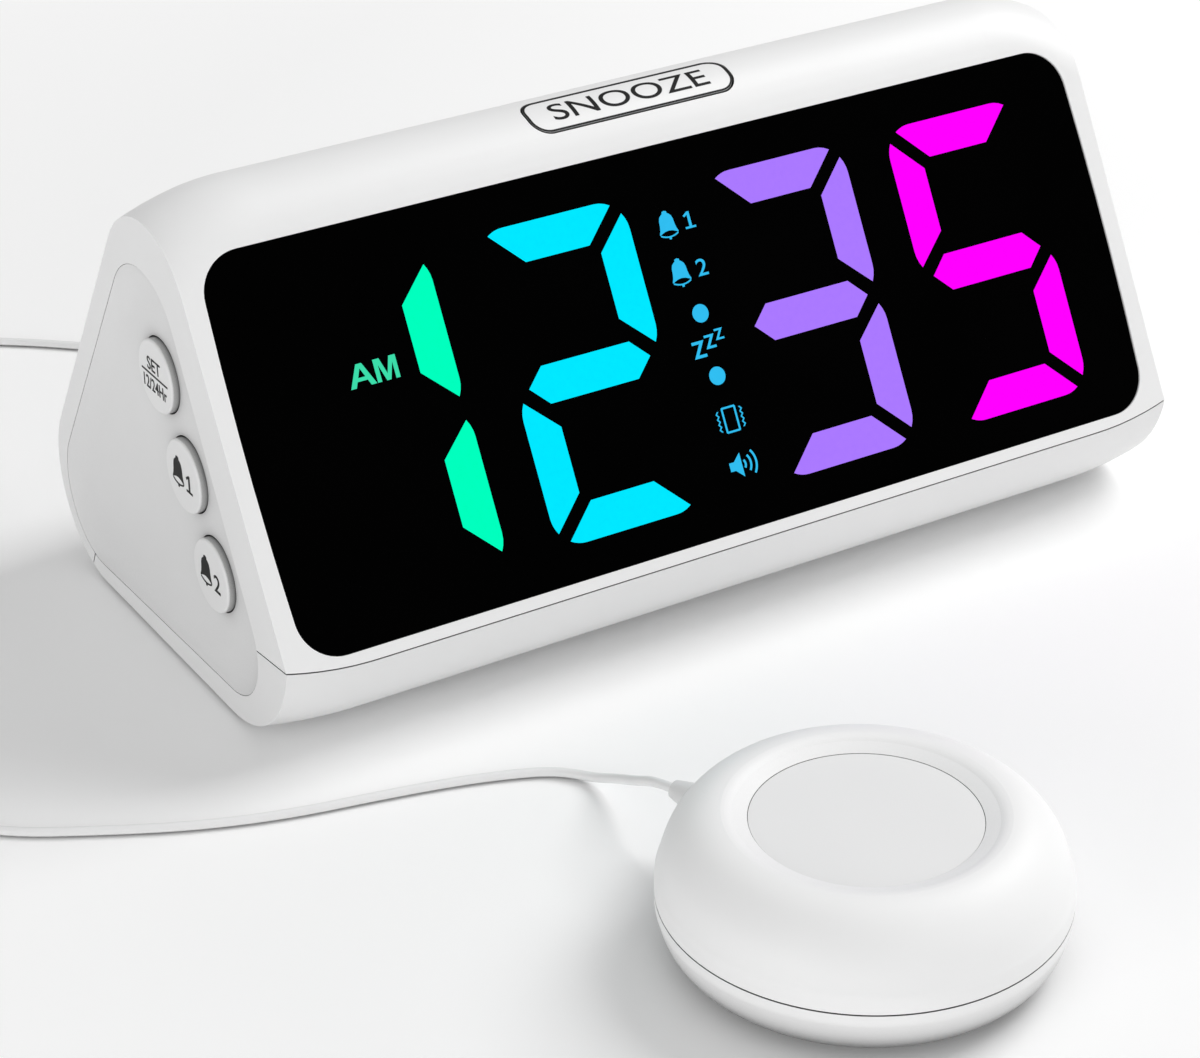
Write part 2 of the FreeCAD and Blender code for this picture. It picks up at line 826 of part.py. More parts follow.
def housing():
    body = shell.cut(upper_cut)
    pad_top = window_bottom + window_height + window_land
    pad = front_block(-hollow_end, hollow_end, 0.0, pad_top, wall - seat_gap, front_wall)
    pad = pad.common(hollow).cut(upper_cut)
    body = body.fuse(pad)
    pocket_pad = rear_pocket(pocket_wall, pocket_floor_y - pocket_wall, reach).common(hollow)
    body = body.fuse(pocket_pad)
    for end in (-1, 1):
        boss = rod(slope_point(speaker_x + end * speaker_screw_x, speaker_along, wall / 2), -SLOPE_OUT,
                   wall / 2 + seat_gap, side_post_radius)
        body = body.fuse(boss)
        body = body.fuse(rod(Vec(end * post_x, post_y, post_bottom), Z_AXIS, reach, post_radius).common(outer))
        post = rod(key_centre + X_AXIS * (end * snooze_post_x) + KEY_OUT * snooze_board_high, KEY_OUT,
                   mid_top_r - wall / 2 - snooze_board_high, snooze_post_radius)
        body = body.fuse(post)
    for x in display_post_lows:
        body = body.fuse(front_rod(x, display_post_low, front_wall - seat_gap, board_depth, display_post_radius))
    for x in display_post_highs:
        body = body.fuse(front_rod(x, display_post_high, front_wall - seat_gap, board_depth, display_post_radius))
    for x, up in display_screw_places():
        body = body.cut(front_rod(x, up, board_depth - screw_grip, board_depth + cut_overrun, screw_radius + thread_gap))
    body = body.cut(display_prism(-seat_gap, -cut_overrun, window_back))
    body = body.cut(display_prism(window_ledge, 0.0, front_wall + cut_overrun))
    opening = belt_prism(rim_x, half_length + cut_overrun, -seat_gap)
    ledge = belt_prism(hollow_end - cut_overrun, rim_x + cut_overrun, end_ledge_width)
    body = body.cut([opening, mirrored(opening), ledge, mirrored(ledge)])
    key_half = key_length / 2
    body = body.cut(key_prism(key_half, key_chord / 2, key_corner, key_opening_low, mid_top_r + cut_overrun))
    body = body.cut(rear_pocket(0.0, pocket_floor_y, reach))
    body = body.cut(rod(Vec(dc_x, pocket_floor_y - pocket_wall - cut_overrun, jack_z), Y_AXIS,
                        pocket_wall + cut_overrun * 2, dc_face_radius + seat_gap))
    body = body.cut(rod(Vec(plug_x, pocket_floor_y - pocket_wall - cut_overrun, jack_z), Y_AXIS,
                        pocket_wall + cut_overrun * 2, jack_face_radius + seat_gap))
    for index in range(slot_count):
        step = (index - (slot_count - 1) / 2) * slot_pitch
        length = 2 * math.sqrt(grille_radius ** 2 - step ** 2)
        slot = stadium(slope_point(speaker_x, speaker_along + step, -cut_overrun), X_AXIS, -SLOPE_OUT, length,
                       slot_width, wall + cut_overrun * 2)
        body = body.cut(slot)
    for end in (-1, 1):
        body = body.cut(rod(slope_point(speaker_x + end * speaker_screw_x, speaker_along, wall / 2), -SLOPE_OUT,
                            wall + cut_overrun, screw_radius + thread_gap))
        body = body.cut(rod(Vec(end * post_x, post_y, post_bottom - cut_overrun), Z_AXIS,
                            cut_overrun + base_screw_length, base_screw_radius + thread_gap))
        hole_start = key_centre + X_AXIS * (end * snooze_post_x) + KEY_OUT * (snooze_board_high - cut_overrun)
        body = body.cut(rod(hole_start, KEY_OUT, cut_overrun + screw_grip, screw_radius + thread_gap))
    return body


def display_screw_places():
    lows = [(x, display_post_low) for x in display_post_lows]
    return lows + [(x, display_post_high) for x in display_post_highs]


# Heights of the snooze key's pieces, out from the centre of the top arc
key_opening_low = mid_top_r - wall * 2
key_flange_high = math.sqrt((mid_top_r - wall) ** 2 - (key_chord / 2 + key_flange) ** 2) - slide_gap
key_flange_low = key_flange_high - key_flange_depth
key_stem_low = key_flange_low - button_wall / 2
snooze_switch_high = key_stem_low - key_travel - thread_gap
snooze_board_high = snooze_switch_high - plunger_length - snooze_switch_depth
snooze_board_low = snooze_board_high - board_thickness

housing_solid = housing()
keep("housing", housing_solid)


# Base tray
def tray():
    body = shell.common(lower_keep)
    for x in tongue_places:
        root = front_block(x - tongue_width / 2, x + tongue_width / 2, -tongue_root, -parting_gap * 2, wall / 2,
                           front_wall + seat_gap + tongue_thickness).common(hollow)
        tip = front_block(x - tongue_width / 2, x + tongue_width / 2, -tongue_root, tongue_rise,
                          front_wall + seat_gap, front_wall + seat_gap + tongue_thickness).common(hollow)
        body = body.fuse([root, tip])
    opening = belt_prism(rim_x, half_length + cut_overrun, -seat_gap)
    ledge = belt_prism(hollow_end - cut_overrun, rim_x + cut_overrun, end_ledge_width)
    body = body.cut([opening, mirrored(opening), ledge, mirrored(ledge)])
    floor_z = base_z + wall
    for end in (-1, 1):
        post = rod(Vec(end * post_x, post_y, base_z), Z_AXIS, post_bottom - seat_gap - base_z, post_radius)
        body = body.fuse(post)
        body = body.cut(rod(Vec(end * post_x, post_y, base_z - cut_overrun), Z_AXIS, reach,
                            base_screw_radius + thread_gap))
        body = body.cut(rod(Vec(end * post_x, post_y, base_z - cut_overrun), Z_AXIS,
                            cut_overrun + base_screw_head_depth + seat_gap, base_screw_head_radius + slide_gap))
    for x in (-foot_x, foot_x):
        for y in (foot_front_y, foot_rear_y):
            body = body.cut(rod(Vec(x, y, base_z - cut_overrun), Z_AXIS, cut_overrun + foot_thickness - foot_height,
                                foot_radius + seat_gap))
    for x, y in main_post_places():
        post_start = Vec(x, y, floor_z - wall / 2)
        body = body.fuse(rod(post_start, Z_AXIS, main_board_z - post_start.z, main_post_radius))
        body = body.cut(rod(Vec(x, y, main_board_z - screw_grip), Z_AXIS, screw_grip + cut_overrun,
                            screw_radius + thread_gap))
    half_l = bay_length / 2
    half_w = bay_width / 2
    bay = box(bay_x - half_l - bay_wall, bay_x + half_l + bay_wall, bay_y - half_w - bay_wall,
              bay_y + half_w + bay_wall, base_z, base_z + bay_height)
    body = body.fuse(bay)
    body = body.cut(box(bay_x - half_l + bay_ledge, bay_x + half_l - bay_ledge, bay_y - half_w + bay_ledge,
                        bay_y + half_w - bay_ledge, base_z - cut_overrun, base_z + bay_height - bay_wall))
    body = body.cut(box(bay_x - half_l, bay_x + half_l, bay_y - half_w, bay_y + half_w, base_z - cut_overrun,
                        base_z + door_thickness))
    screw_x, screw_y = door_screw_place()
    body = body.cut(rod(Vec(screw_x, screw_y, base_z), Z_AXIS, bay_height, screw_radius + thread_gap))
    return body


def main_post_places():
    half_l = main_board_length / 2 - main_post_inset
    half_w = main_board_width / 2 - main_post_inset
    return [(x, main_board_y + y) for x in (-half_l, half_l) for y in (-half_w, half_w)]


def door_screw_place():
    return bay_x - bay_length / 2 - bay_wall * 2, bay_y


door_tab = bay_wall * 4


def battery_door(grow, depth):
    half_l = bay_length / 2 + grow
    half_w = bay_width / 2 + grow
    door = box(bay_x - half_l, bay_x + half_l, bay_y - half_w, bay_y + half_w, base_z - depth,
               base_z + door_thickness)
    left = bay_x - bay_length / 2 - door_tab - grow
    tab = box(left, bay_x, bay_y - door_tab - grow, bay_y + door_tab + grow, base_z - depth,
              base_z + door_thickness)
    return door.fuse(tab)


tray_solid = tray().cut(battery_door(0.0, cut_overrun))
screw_x, screw_y = door_screw_place()
boss = rod(Vec(screw_x, screw_y, base_z + wall / 2), Z_AXIS, bay_height - wall / 2, side_post_radius)
boss = boss.cut(battery_door(0.0, cut_overrun))
tray_solid = tray_solid.fuse(boss).cut(rod(Vec(screw_x, screw_y, base_z), Z_AXIS, bay_height - wall / 2,
                                           screw_radius + thread_gap))
keep("base_tray", tray_solid)
door_solid = battery_door(-seat_gap, 0.0).cut(rod(Vec(screw_x, screw_y, base_z - cut_overrun), Z_AXIS,
                                                  cut_overrun * 2, screw_radius + thread_gap))
head_sink = door_thickness / 2
door_solid = door_solid.cut(rod(Vec(screw_x, screw_y, base_z - cut_overrun), Z_AXIS, cut_overrun + head_sink,
                                screw_head_radius + seat_gap))
keep("battery_door", door_solid)
door_screw = rod(Vec(screw_x, screw_y, base_z), Z_AXIS, head_sink, screw_head_radius)
keep("battery_screw", door_screw.fuse(rod(Vec(screw_x, screw_y, base_z), Z_AXIS, screw_grip, screw_radius)))
cell_z = base_z + door_thickness + seat_gap
keep("backup_cell", rod(Vec(bay_x + cell_offset, bay_y, cell_z), Z_AXIS, cell_thickness, cell_radius))

# Feet and base screws
feet = []
for x in (-foot_x, foot_x):
    for y in (foot_front_y, foot_rear_y):
        feet.append(rod(Vec(x, y, 0), Z_AXIS, foot_thickness, foot_radius))
keep("base_feet", Part.makeCompound(feet))
screws = []
for end in (-1, 1):
    place = Vec(end * post_x, post_y, base_z + seat_gap)
    head = rod(place, Z_AXIS, base_screw_head_depth, base_screw_head_radius)
    screws.append(head.fuse(rod(place, Z_AXIS, base_screw_head_depth + base_screw_length, base_screw_radius)))
keep("base_screws", Part.makeCompound(screws))

# Main board with its chips
board = box(-main_board_length / 2, main_board_length / 2, main_board_y - main_board_width / 2,
            main_board_y + main_board_width / 2, main_board_z, main_board_z + board_thickness)
screws = []
for x, y in main_post_places():
    board = board.cut(rod(Vec(x, y, main_board_z - cut_overrun), Z_AXIS, cut_overrun * 2 + board_thickness,
                          screw_radius + thread_gap))
    head = rod(Vec(x, y, main_board_z + board_thickness), Z_AXIS, screw_head_depth, screw_head_radius)
    shank = rod(Vec(x, y, main_board_z + board_thickness), -Z_AXIS, board_thickness + screw_grip - thread_gap,
                screw_radius)
    screws.append(head.fuse(shank))
keep("main_board", board)
keep("board_screws", Part.makeCompound(screws))
chips = []
for x in chip_places:
    chips.append(box(x - chip_length / 2, x + chip_length / 2, main_board_y - chip_width / 2,
                     main_board_y + chip_width / 2, main_board_z + board_thickness,
                     main_board_z + board_thickness + chip_depth))
keep("main_chips", Part.makeCompound(chips))

# Display window with its openings for the lit bars and the dots
window = display_prism(0.0, window_recess, window_back)
for index, (left, shown) in enumerate(zip(digit_lefts, digit_shows)):
    bars = []
    for name in SHOWN_BARS[shown]:
        bar = bar_face(name, left, window_recess).extrude(INTO_FRONT * window_thickness)
        window = window.cut(bar)
        bars.append(bar)
    keep("digit_" + str(index + 1) + "_bars", Part.makeCompound(bars))
dots = []
for up in dot_heights:
    window = window.cut(front_rod(dot_x, up, 0.0, window_back + cut_overrun, dot_radius))
    dots.append(front_rod(dot_x, up, window_recess, window_back, dot_radius))
keep("colon_dots", Part.makeCompound(dots))
keep("display_window", window)

# Light block with a cell behind every bar of every digit
block = front_block(-reflector_length / 2, reflector_length / 2, reflector_bottom, reflector_top, reflector_front,
                    board_depth)
for left in digit_lefts:
    for name in ALL_BARS:
        cell = bar_face(name, left, reflector_front - cut_overrun)
        block = block.cut(cell.extrude(INTO_FRONT * (cut_overrun + cell_depth)))
for up in dot_heights:
    block = block.cut(front_rod(dot_x, up, reflector_front - cut_overrun, reflector_front + cell_depth, dot_radius))
keep("led_reflector", block)

# Display board, notched under the snooze key, and its screws
board = front_block(-display_board_length / 2, display_board_length / 2, display_board_bottom, display_board_top,
                    board_depth, board_depth + board_thickness)
notch = front_block(-display_notch / 2, display_notch / 2, reflector_top, display_board_top + cut_overrun,
                    board_depth - cut_overrun, board_depth + board_thickness + cut_overrun)
board = board.cut(notch)
screws = []
for x, up in display_screw_places():
    board = board.cut(front_rod(x, up, board_depth - cut_overrun, board_depth + board_thickness + cut_overrun,
                                screw_radius + thread_gap))
    back = board_depth + board_thickness
    head = front_rod(x, up, back, back + screw_head_depth, screw_head_radius)
    screws.append(head.fuse(front_rod(x, up, board_depth - screw_grip + thread_gap, back, screw_radius)))
keep("display_board", board)
keep("display_screws", Part.makeCompound(screws))

# Snooze key: a curved cap with a retaining flange and a stem
half_long = key_length / 2 - key_gap
half_wide = key_chord / 2 - key_gap
cap = key_prism(half_long, half_wide, key_corner - key_gap, key_flange_low, mid_top_r + cut_overrun)
cap = cap.common(rod(key_centre - X_AXIS * key_length, X_AXIS, key_length * 2, mid_top_r))
inside = key_prism(half_long - key_wall, half_wide - key_wall, key_corner - key_gap - key_wall,
                   key_flange_low - cut_overrun, key_flange_low + key_height - key_wall)
flange = key_prism(half_long + key_flange, half_wide + key_flange, key_corner, key_flange_low, key_flange_high)
stem = rod(key_centre + KEY_OUT * key_stem_low, KEY_OUT, mid_top_r - key_wall - key_stem_low, stem_radius)
keep("snooze_key", cap.fuse(flange).cut(inside).fuse(stem))


def key_block(half_x, half_side, low, high):
    return key_prism(half_x, half_side, 0, low, high)


board = key_block(snooze_board_length / 2, snooze_board_width / 2, snooze_board_low, snooze_board_high)
screws = []
for end in (-1, 1):
    place = key_centre + X_AXIS * (end * snooze_post_x) + KEY_OUT * snooze_board_low
    board = board.cut(rod(place - KEY_OUT * cut_overrun, KEY_OUT, cut_overrun * 2 + board_thickness,
                          screw_radius + thread_gap))
    head = rod(place - KEY_OUT * screw_head_depth, KEY_OUT, screw_head_depth, screw_head_radius)
    screws.append(head.fuse(rod(place, KEY_OUT, board_thickness + screw_grip - thread_gap, screw_radius)))
keep("snooze_board", board)
keep("snooze_screws", Part.makeCompound(screws))
switch = key_block(switch_size / 2, switch_size / 2, snooze_board_high, snooze_board_high + snooze_switch_depth)
plunger = rod(key_centre + KEY_OUT * (snooze_board_high + snooze_switch_depth), KEY_OUT, plunger_length,
              plunger_radius)
keep("snooze_switch", switch.fuse(plunger))


# Speaker: flange with two ears, thin basket, cone and magnet
def slope_turned(profile, depth):
    """A body of revolution about the speaker's axis, from (radius, depth behind its front) points."""
    start = slope_point(speaker_x, speaker_along, depth)
    points = [start + X_AXIS * r - SLOPE_OUT * d for r, d in profile]
    return polygon(points).revolve(start, SLOPE_OUT, 360)


speaker_depth = wall + seat_gap
basket_end = speaker_flange_depth + speaker_basket_depth
frame = slope_turned([(speaker_radius - speaker_flange_depth * 2, 0), (speaker_radius, 0),
                      (speaker_radius, speaker_flange_depth),
                      (speaker_radius - speaker_flange_depth, speaker_flange_depth), (speaker_back_radius, basket_end),
                      (0, basket_end), (0, basket_end - speaker_metal),
                      (speaker_back_radius - speaker_metal, basket_end - speaker_metal)], speaker_depth)
ears = polygon([slope_point(speaker_x + dx, speaker_along + da, speaker_depth) for dx, da in (
    (-speaker_ear_length / 2, -speaker_ear_width / 2), (speaker_ear_length / 2, -speaker_ear_width / 2),
    (speaker_ear_length / 2, speaker_ear_width / 2), (-speaker_ear_length / 2, speaker_ear_width / 2))])
ears = ears.extrude(SLOPE_OUT * -speaker_flange_depth)
ears = ears.cut(rod(slope_point(speaker_x, speaker_along, 0), -SLOPE_OUT, reach, speaker_radius - seat_gap))
screws = []
for end in (-1, 1):
    place = slope_point(speaker_x + end * speaker_screw_x, speaker_along, speaker_depth)
    ears = ears.cut(rod(place + SLOPE_OUT * cut_overrun, -SLOPE_OUT, cut_overrun * 2 + wall,
                        screw_radius + thread_gap))
    back = place - SLOPE_OUT * speaker_flange_depth
    head = rod(back, -SLOPE_OUT, screw_head_depth, screw_head_radius)
    screws.append(head.fuse(rod(back, SLOPE_OUT, speaker_flange_depth + wall / 2, screw_radius)))
keep("speaker_frame", frame.fuse(ears))
keep("speaker_screws", Part.makeCompound(screws))
cone_edge = speaker_radius - speaker_flange_depth * 2 - speaker_metal * 2
keep("speaker_cone", slope_turned([(0, basket_end / 2), (cone_edge, speaker_metal), (cone_edge, speaker_metal * 2),
                                   (0, basket_end / 2 + speaker_metal)], speaker_depth))
magnet_start = slope_point(speaker_x, speaker_along, speaker_depth + basket_end)
keep("speaker_magnet", rod(magnet_start, -SLOPE_OUT, magnet_depth, magnet_radius))

# Inlet for the mains adapter: a bored body with its centre pin
dc_front_y = pocket_floor_y
dc_half = dc_body_width / 2
inner_y = pocket_floor_y - pocket_wall - seat_gap
inlet = box(dc_x - dc_half, dc_x + dc_half, inner_y - dc_body_length, inner_y, jack_z - dc_half, jack_z + dc_half)
inlet = inlet.fuse(rod(Vec(dc_x, inner_y, jack_z), Y_AXIS, dc_front_y - inner_y, dc_face_radius))
inlet = inlet.cut(rod(Vec(dc_x, dc_front_y + cut_overrun, jack_z), -Y_AXIS, cut_overrun + dc_bore_depth,
                      dc_bore_radius))
pin_back = dc_bore_depth + pocket_wall
inlet = inlet.fuse(rod(Vec(dc_x, dc_front_y - pin_back, jack_z), Y_AXIS, pin_back - (dc_bore_depth - dc_pin_length),
                       dc_pin_radius))
keep("dc_jack", inlet)

# Socket of the shaker's plug
jack_half = jack_body_width / 2
socket = box(plug_x - jack_half, plug_x + jack_half, inner_y - jack_body_length, inner_y, jack_z - jack_half,
             jack_z + jack_half)
socket = socket.fuse(rod(Vec(plug_x, inner_y, jack_z), Y_AXIS, dc_front_y - inner_y, jack_face_radius))
socket = socket.cut(rod(Vec(plug_x, dc_front_y + cut_overrun, jack_z), -Y_AXIS, cut_overrun + pin_length + seat_gap,
                        pin_radius + thread_gap))
keep("shaker_jack", socket)

# Plug of the shaker cord, with a tapered strain relief
plug_start = dc_front_y + seat_gap
grip = rod(Vec(plug_x, plug_start, jack_z), Y_AXIS, plug_length, plug_radius)
rims = [edge for edge in grip.Edges if edge.Length > plug_radius * 2 and len(edge.Vertexes) == 1]
grip = grip.makeFillet(plug_round, rims)
relief_start = Vec(plug_x, plug_start + plug_length - seat_gap, jack_z)
relief = Part.makeCone(plug_radius * relief_root_share, relief_tip_radius, relief_length, relief_start, Y_AXIS)
plug = grip.fuse(relief)
plug = plug.cut(rod(Vec(plug_x, plug_start, jack_z), Y_AXIS, plug_length / 2, pin_radius))
keep("cord_plug", plug)
keep("plug_pin", rod(Vec(plug_x, dc_front_y - pin_length, jack_z), Y_AXIS, pin_length + seat_gap + plug_length / 2,
                     pin_radius))
plug_exit = Vec(plug_x, plug_start + plug_length - seat_gap + relief_length, jack_z)


# Shaker puck, turned about its own upright axis
def puck_point(radius, z):
    return Vec(puck_x + radius, puck_y, z)


def side_curve(r_in, r_out, z_flat, z_seam, inset):
    """A quarter of an ellipse from the flat side to the widest ring, as one smooth curve."""
    points = []
    across = r_out - r_in - inset
    tall = z_flat - z_seam
    tall = tall - inset if tall > 0 else tall + inset
    for index in range(puck_curve_steps + 1):
        angle = math.pi / 2 * index / puck_curve_steps
        points.append(puck_point(r_in + across * math.sin(angle), z_seam + tall * math.cos(angle)))
    curve = Part.BSplineCurve()
    curve.interpolate(Points=points, InitialTangent=X_AXIS, FinalTangent=Z_AXIS * (-1 if tall > 0 else 1))
    return curve.toShape(), points[0], points[-1]


def turned(edges):
    return Part.Face(Part.Wire(edges)).revolve(Vec(puck_x, puck_y, 0), Z_AXIS, 360)


def path(points):
    return [line(a, b) for a, b in zip(points[:-1], points[1:])]


upper_seam = seam_z + seam_gap / 2
lower_seam = seam_z - seam_gap / 2
seat_z = disc_z - disc_thickness - thread_gap
seat_under = seat_z - puck_wall * seat_wall_share
seat_radius = disc_radius + seat_gap
outer_curve, crest, outer_seam = side_curve(crest_radius, puck_radius, crest_z, upper_seam, 0.0)
inner_curve, crown, inner_seam = side_curve(crest_radius, puck_radius, crest_z, upper_seam, puck_wall)
slope_top = puck_point(rim_slope_outer, crest_z - rim_slope_drop)
slope_foot = puck_point(seat_radius, disc_z + seat_gap)
crest_bend = puck_point((crest_radius + rim_slope_outer) / 2, crest_z - rim_slope_drop * crest_bend_share)
edges = [outer_curve, line(outer_seam, inner_seam), inner_curve]
edges += path([crown, puck_point(seat_radius + puck_wall, crown.z), puck_point(seat_radius, seat_under),
               puck_point(0, seat_under), puck_point(0, seat_z), puck_point(seat_radius, seat_z), slope_foot, slope_top])
edges.append(Part.Arc(slope_top, crest_bend, crest).toShape())
top_shell = turned(Part.sortEdges(edges)[0])
outer_curve, base_ring, outer_seam = side_curve(puck_base_radius, puck_radius, puck_base_z, lower_seam, 0.0)
inner_curve, inner_ring, inner_seam = side_curve(puck_base_radius, puck_radius, puck_base_z, lower_seam, puck_wall)
groove_in = puck_base_radius - pad_width
edges = [outer_curve, line(outer_seam, inner_seam), inner_curve]
edges += path([inner_ring, puck_point(0, inner_ring.z), puck_point(0, puck_base_z), base_ring])
bottom_shell = turned(Part.sortEdges(edges)[0])
pad_top = pad_thickness
puck_axis_foot = Vec(puck_x, puck_y, -cut_overrun)
groove = rod(puck_axis_foot, Z_AXIS, cut_overrun + pad_top, puck_base_radius - seat_gap)
groove = groove.cut(rod(puck_axis_foot, Z_AXIS, cut_overrun + pad_top, groove_in - seat_gap))
bottom_shell = bottom_shell.cut(groove)
floor_z = puck_base_z + puck_wall
pad = rod(Vec(puck_x, puck_y, 0), Z_AXIS, pad_top, puck_base_radius - seat_gap * 2)
pad = pad.cut(rod(Vec(puck_x, puck_y, 0), Z_AXIS, pad_top, groove_in))
keep("puck_pad", pad)
keep("puck_disc", rod(Vec(puck_x, puck_y, seat_z + thread_gap), Z_AXIS, disc_thickness, disc_radius))


def puck_place(radius, degrees, z):
    angle = math.radians(degrees)
    return Vec(puck_x + radius * math.cos(angle), puck_y + radius * math.sin(angle), z)


# The motor lies across the puck; its axis is turned from X
turn = math.radians(motor_turn_deg)
ALONG = Vec(math.cos(turn), math.sin(turn), 0)
ACROSS = Vec(-math.sin(turn), math.cos(turn), 0)
motor_nose = Vec(puck_x, puck_y, motor_axis_z) + ALONG * motor_front
motor_back = motor_nose - ALONG * motor_length

screws = []
for post_turn_deg in puck_post_turn_degs:
    place = puck_place(puck_post_circle, motor_turn_deg + post_turn_deg, 0)
    post_top = seam_z - seam_gap / 2
    bottom_shell = bottom_shell.fuse(rod(place + Z_AXIS * pad_top, Z_AXIS, post_top - pad_top, puck_post_radius))
    boss_top = seam_z + puck_screw_length * puck_boss_share
    top_boss = rod(place + Z_AXIS * upper_seam, Z_AXIS, boss_top - upper_seam + wall, puck_post_radius)
    top_shell = top_shell.fuse(top_boss)
    hole_depth = cut_overrun + pad_top + puck_screw_length
    hole = rod(place - Z_AXIS * cut_overrun, Z_AXIS, hole_depth, screw_radius + thread_gap)
    top_shell = top_shell.cut(hole)
    bottom_shell = bottom_shell.cut(hole)
    sink_depth = cut_overrun + pad_top + thread_gap + screw_head_depth
    sink = rod(place - Z_AXIS * cut_overrun, Z_AXIS, sink_depth, screw_head_radius + seat_gap)
    bottom_shell = bottom_shell.cut(sink)
    head = rod(place + Z_AXIS * (pad_top + thread_gap), Z_AXIS, screw_head_depth, screw_head_radius)
    shank = rod(place + Z_AXIS * (pad_top + thread_gap), Z_AXIS, puck_screw_length - seat_gap, screw_radius)
    screws.append(head.fuse(shank))
keep("puck_screws", Part.makeCompound(screws))

# Saddle ribs under the motor, motor, clamp, shaft and eccentric weight
for share in saddle_shares:
    middle = motor_back + ALONG * (motor_length * share)
    corners = [(-puck_wall, -saddle_width / 2), (puck_wall, -saddle_width / 2), (puck_wall, saddle_width / 2),
               (-puck_wall, saddle_width / 2)]
    foot = [Vec(middle.x, middle.y, puck_base_z + puck_wall / 2) + ALONG * (a / 2) + ACROSS * b for a, b in corners]
    rib = polygon(foot).extrude(Z_AXIS * (motor_axis_z - motor_radius / 2 - puck_base_z - puck_wall / 2))
    bottom_shell = bottom_shell.fuse(rib)
bottom_shell = bottom_shell.cut(rod(motor_back - ALONG * cut_overrun, ALONG, motor_length + cut_overrun * 2,
                                    motor_radius + saddle_gap))
motor = rod(motor_back, ALONG, motor_length, motor_radius)
motor = motor.fuse(rod(motor_nose, ALONG, motor_nose_length, motor_nose_radius))
motor = motor.cut(rod(motor_nose + ALONG * (motor_nose_length + cut_overrun), -ALONG,
                      motor_nose_length + cut_overrun + shaft_depth, shaft_radius + shaft_gap))
keep("puck_motor", motor)
shaft = rod(motor_nose - ALONG * (shaft_depth - seat_gap), ALONG, shaft_depth + shaft_length, shaft_radius)
keep("motor_shaft", shaft)
weight_at = motor_nose + ALONG * (motor_nose_length + weight_start)
weight = rod(weight_at, ALONG, weight_length, weight_radius)
half_space = polygon([weight_at - ALONG * cut_overrun + ACROSS * a + Z_AXIS * b for a, b in (
    (-reach, 0), (reach, 0), (reach, reach), (-reach, reach))])
weight = weight.cut(half_space.extrude(ALONG * (weight_length + cut_overrun * 2)))
weight = weight.fuse(rod(weight_at, ALONG, weight_length, weight_hub))
weight = weight.cut(rod(weight_at - ALONG * cut_overrun, ALONG, weight_length + cut_overrun * 2, shaft_radius))
keep("eccentric_weight", weight)

# Clamp strap over the motor, seated on two posts of the bottom shell
clamp_at = motor_back + ALONG * (motor_length / 2 - clamp_width / 2)
strap = rod(clamp_at, ALONG, clamp_width, motor_radius + saddle_gap + clamp_thickness)
foot_reach = motor_radius + saddle_gap + clamp_thickness + clamp_foot
feet_block = polygon([clamp_at + ACROSS * a + Z_AXIS * b for a, b in (
    (-foot_reach, 0), (foot_reach, 0), (foot_reach, clamp_thickness), (-foot_reach, clamp_thickness))])
strap = strap.fuse(feet_block.extrude(ALONG * clamp_width))
strap = strap.cut(rod(clamp_at - ALONG * cut_overrun, ALONG, clamp_width + cut_overrun * 2,
                      motor_radius + saddle_gap))
lower = polygon([clamp_at - ALONG * cut_overrun + ACROSS * a - Z_AXIS * b for a, b in (
    (-reach, 0), (reach, 0), (reach, reach), (-reach, reach))])
strap = strap.cut(lower.extrude(ALONG * (clamp_width + cut_overrun * 2)))
screws = []
for end in (-1, 1):
    place = Vec(puck_x, puck_y, motor_axis_z) + ALONG * (motor_front - motor_length / 2)
    place = place + ACROSS * (end * (foot_reach - clamp_foot / 2))
    low = Vec(place.x, place.y, puck_base_z + puck_wall / 2)
    post = rod(low, Z_AXIS, motor_axis_z - low.z, clamp_foot / 2)
    post = post.cut(rod(place - Z_AXIS * screw_grip, Z_AXIS, screw_grip + cut_overrun, screw_radius + thread_gap))
    bottom_shell = bottom_shell.fuse(post)
    strap = strap.cut(rod(place - Z_AXIS * cut_overrun, Z_AXIS, cut_overrun * 2, screw_radius + thread_gap))
    top = place + Z_AXIS * clamp_thickness
    head = rod(top, Z_AXIS, screw_head_depth, screw_head_radius)
    screws.append(head.fuse(rod(top, -Z_AXIS, clamp_thickness + screw_grip - thread_gap, screw_radius)))
keep("motor_clamp", strap)
keep("clamp_screws", Part.makeCompound(screws))

# Strain relief of the puck's cord, through a hole that both shells share
gland_turn = math.radians(gland_turn_deg)
GLAND_OUT = Vec(math.cos(gland_turn), math.sin(gland_turn), 0)
gland_axis = Vec(puck_x, puck_y, gland_z)
gland_hole = rod(gland_axis + GLAND_OUT * (puck_radius / 2), GLAND_OUT, puck_radius, gland_base_radius + gland_fit)
top_shell = top_shell.cut(gland_hole)
bottom_shell = bottom_shell.cut(gland_hole)
gland_in = puck_radius - puck_wall - gland_collar_depth - seat_gap * 2
collar = rod(gland_axis + GLAND_OUT * gland_in, GLAND_OUT, gland_collar_depth, gland_collar_radius)
neck = rod(gland_axis + GLAND_OUT * gland_in, GLAND_OUT, puck_radius - gland_in, gland_base_radius)
cone_start = gland_axis + GLAND_OUT * puck_radius
cone = Part.makeCone(gland_base_radius, gland_tip_radius, gland_reach - puck_radius, cone_start, GLAND_OUT)
gland = collar.fuse([neck, cone])
collar_room = rod(gland_axis + GLAND_OUT * (gland_in - seat_gap), GLAND_OUT, gland_collar_depth + seat_gap * 2,
                  gland_collar_radius + seat_gap)
top_shell = top_shell.cut(collar_room)
bottom_shell = bottom_shell.cut(collar_room)
keep("cord_gland", gland)
keep("puck_top_shell", top_shell)
keep("puck_bottom_shell", bottom_shell)
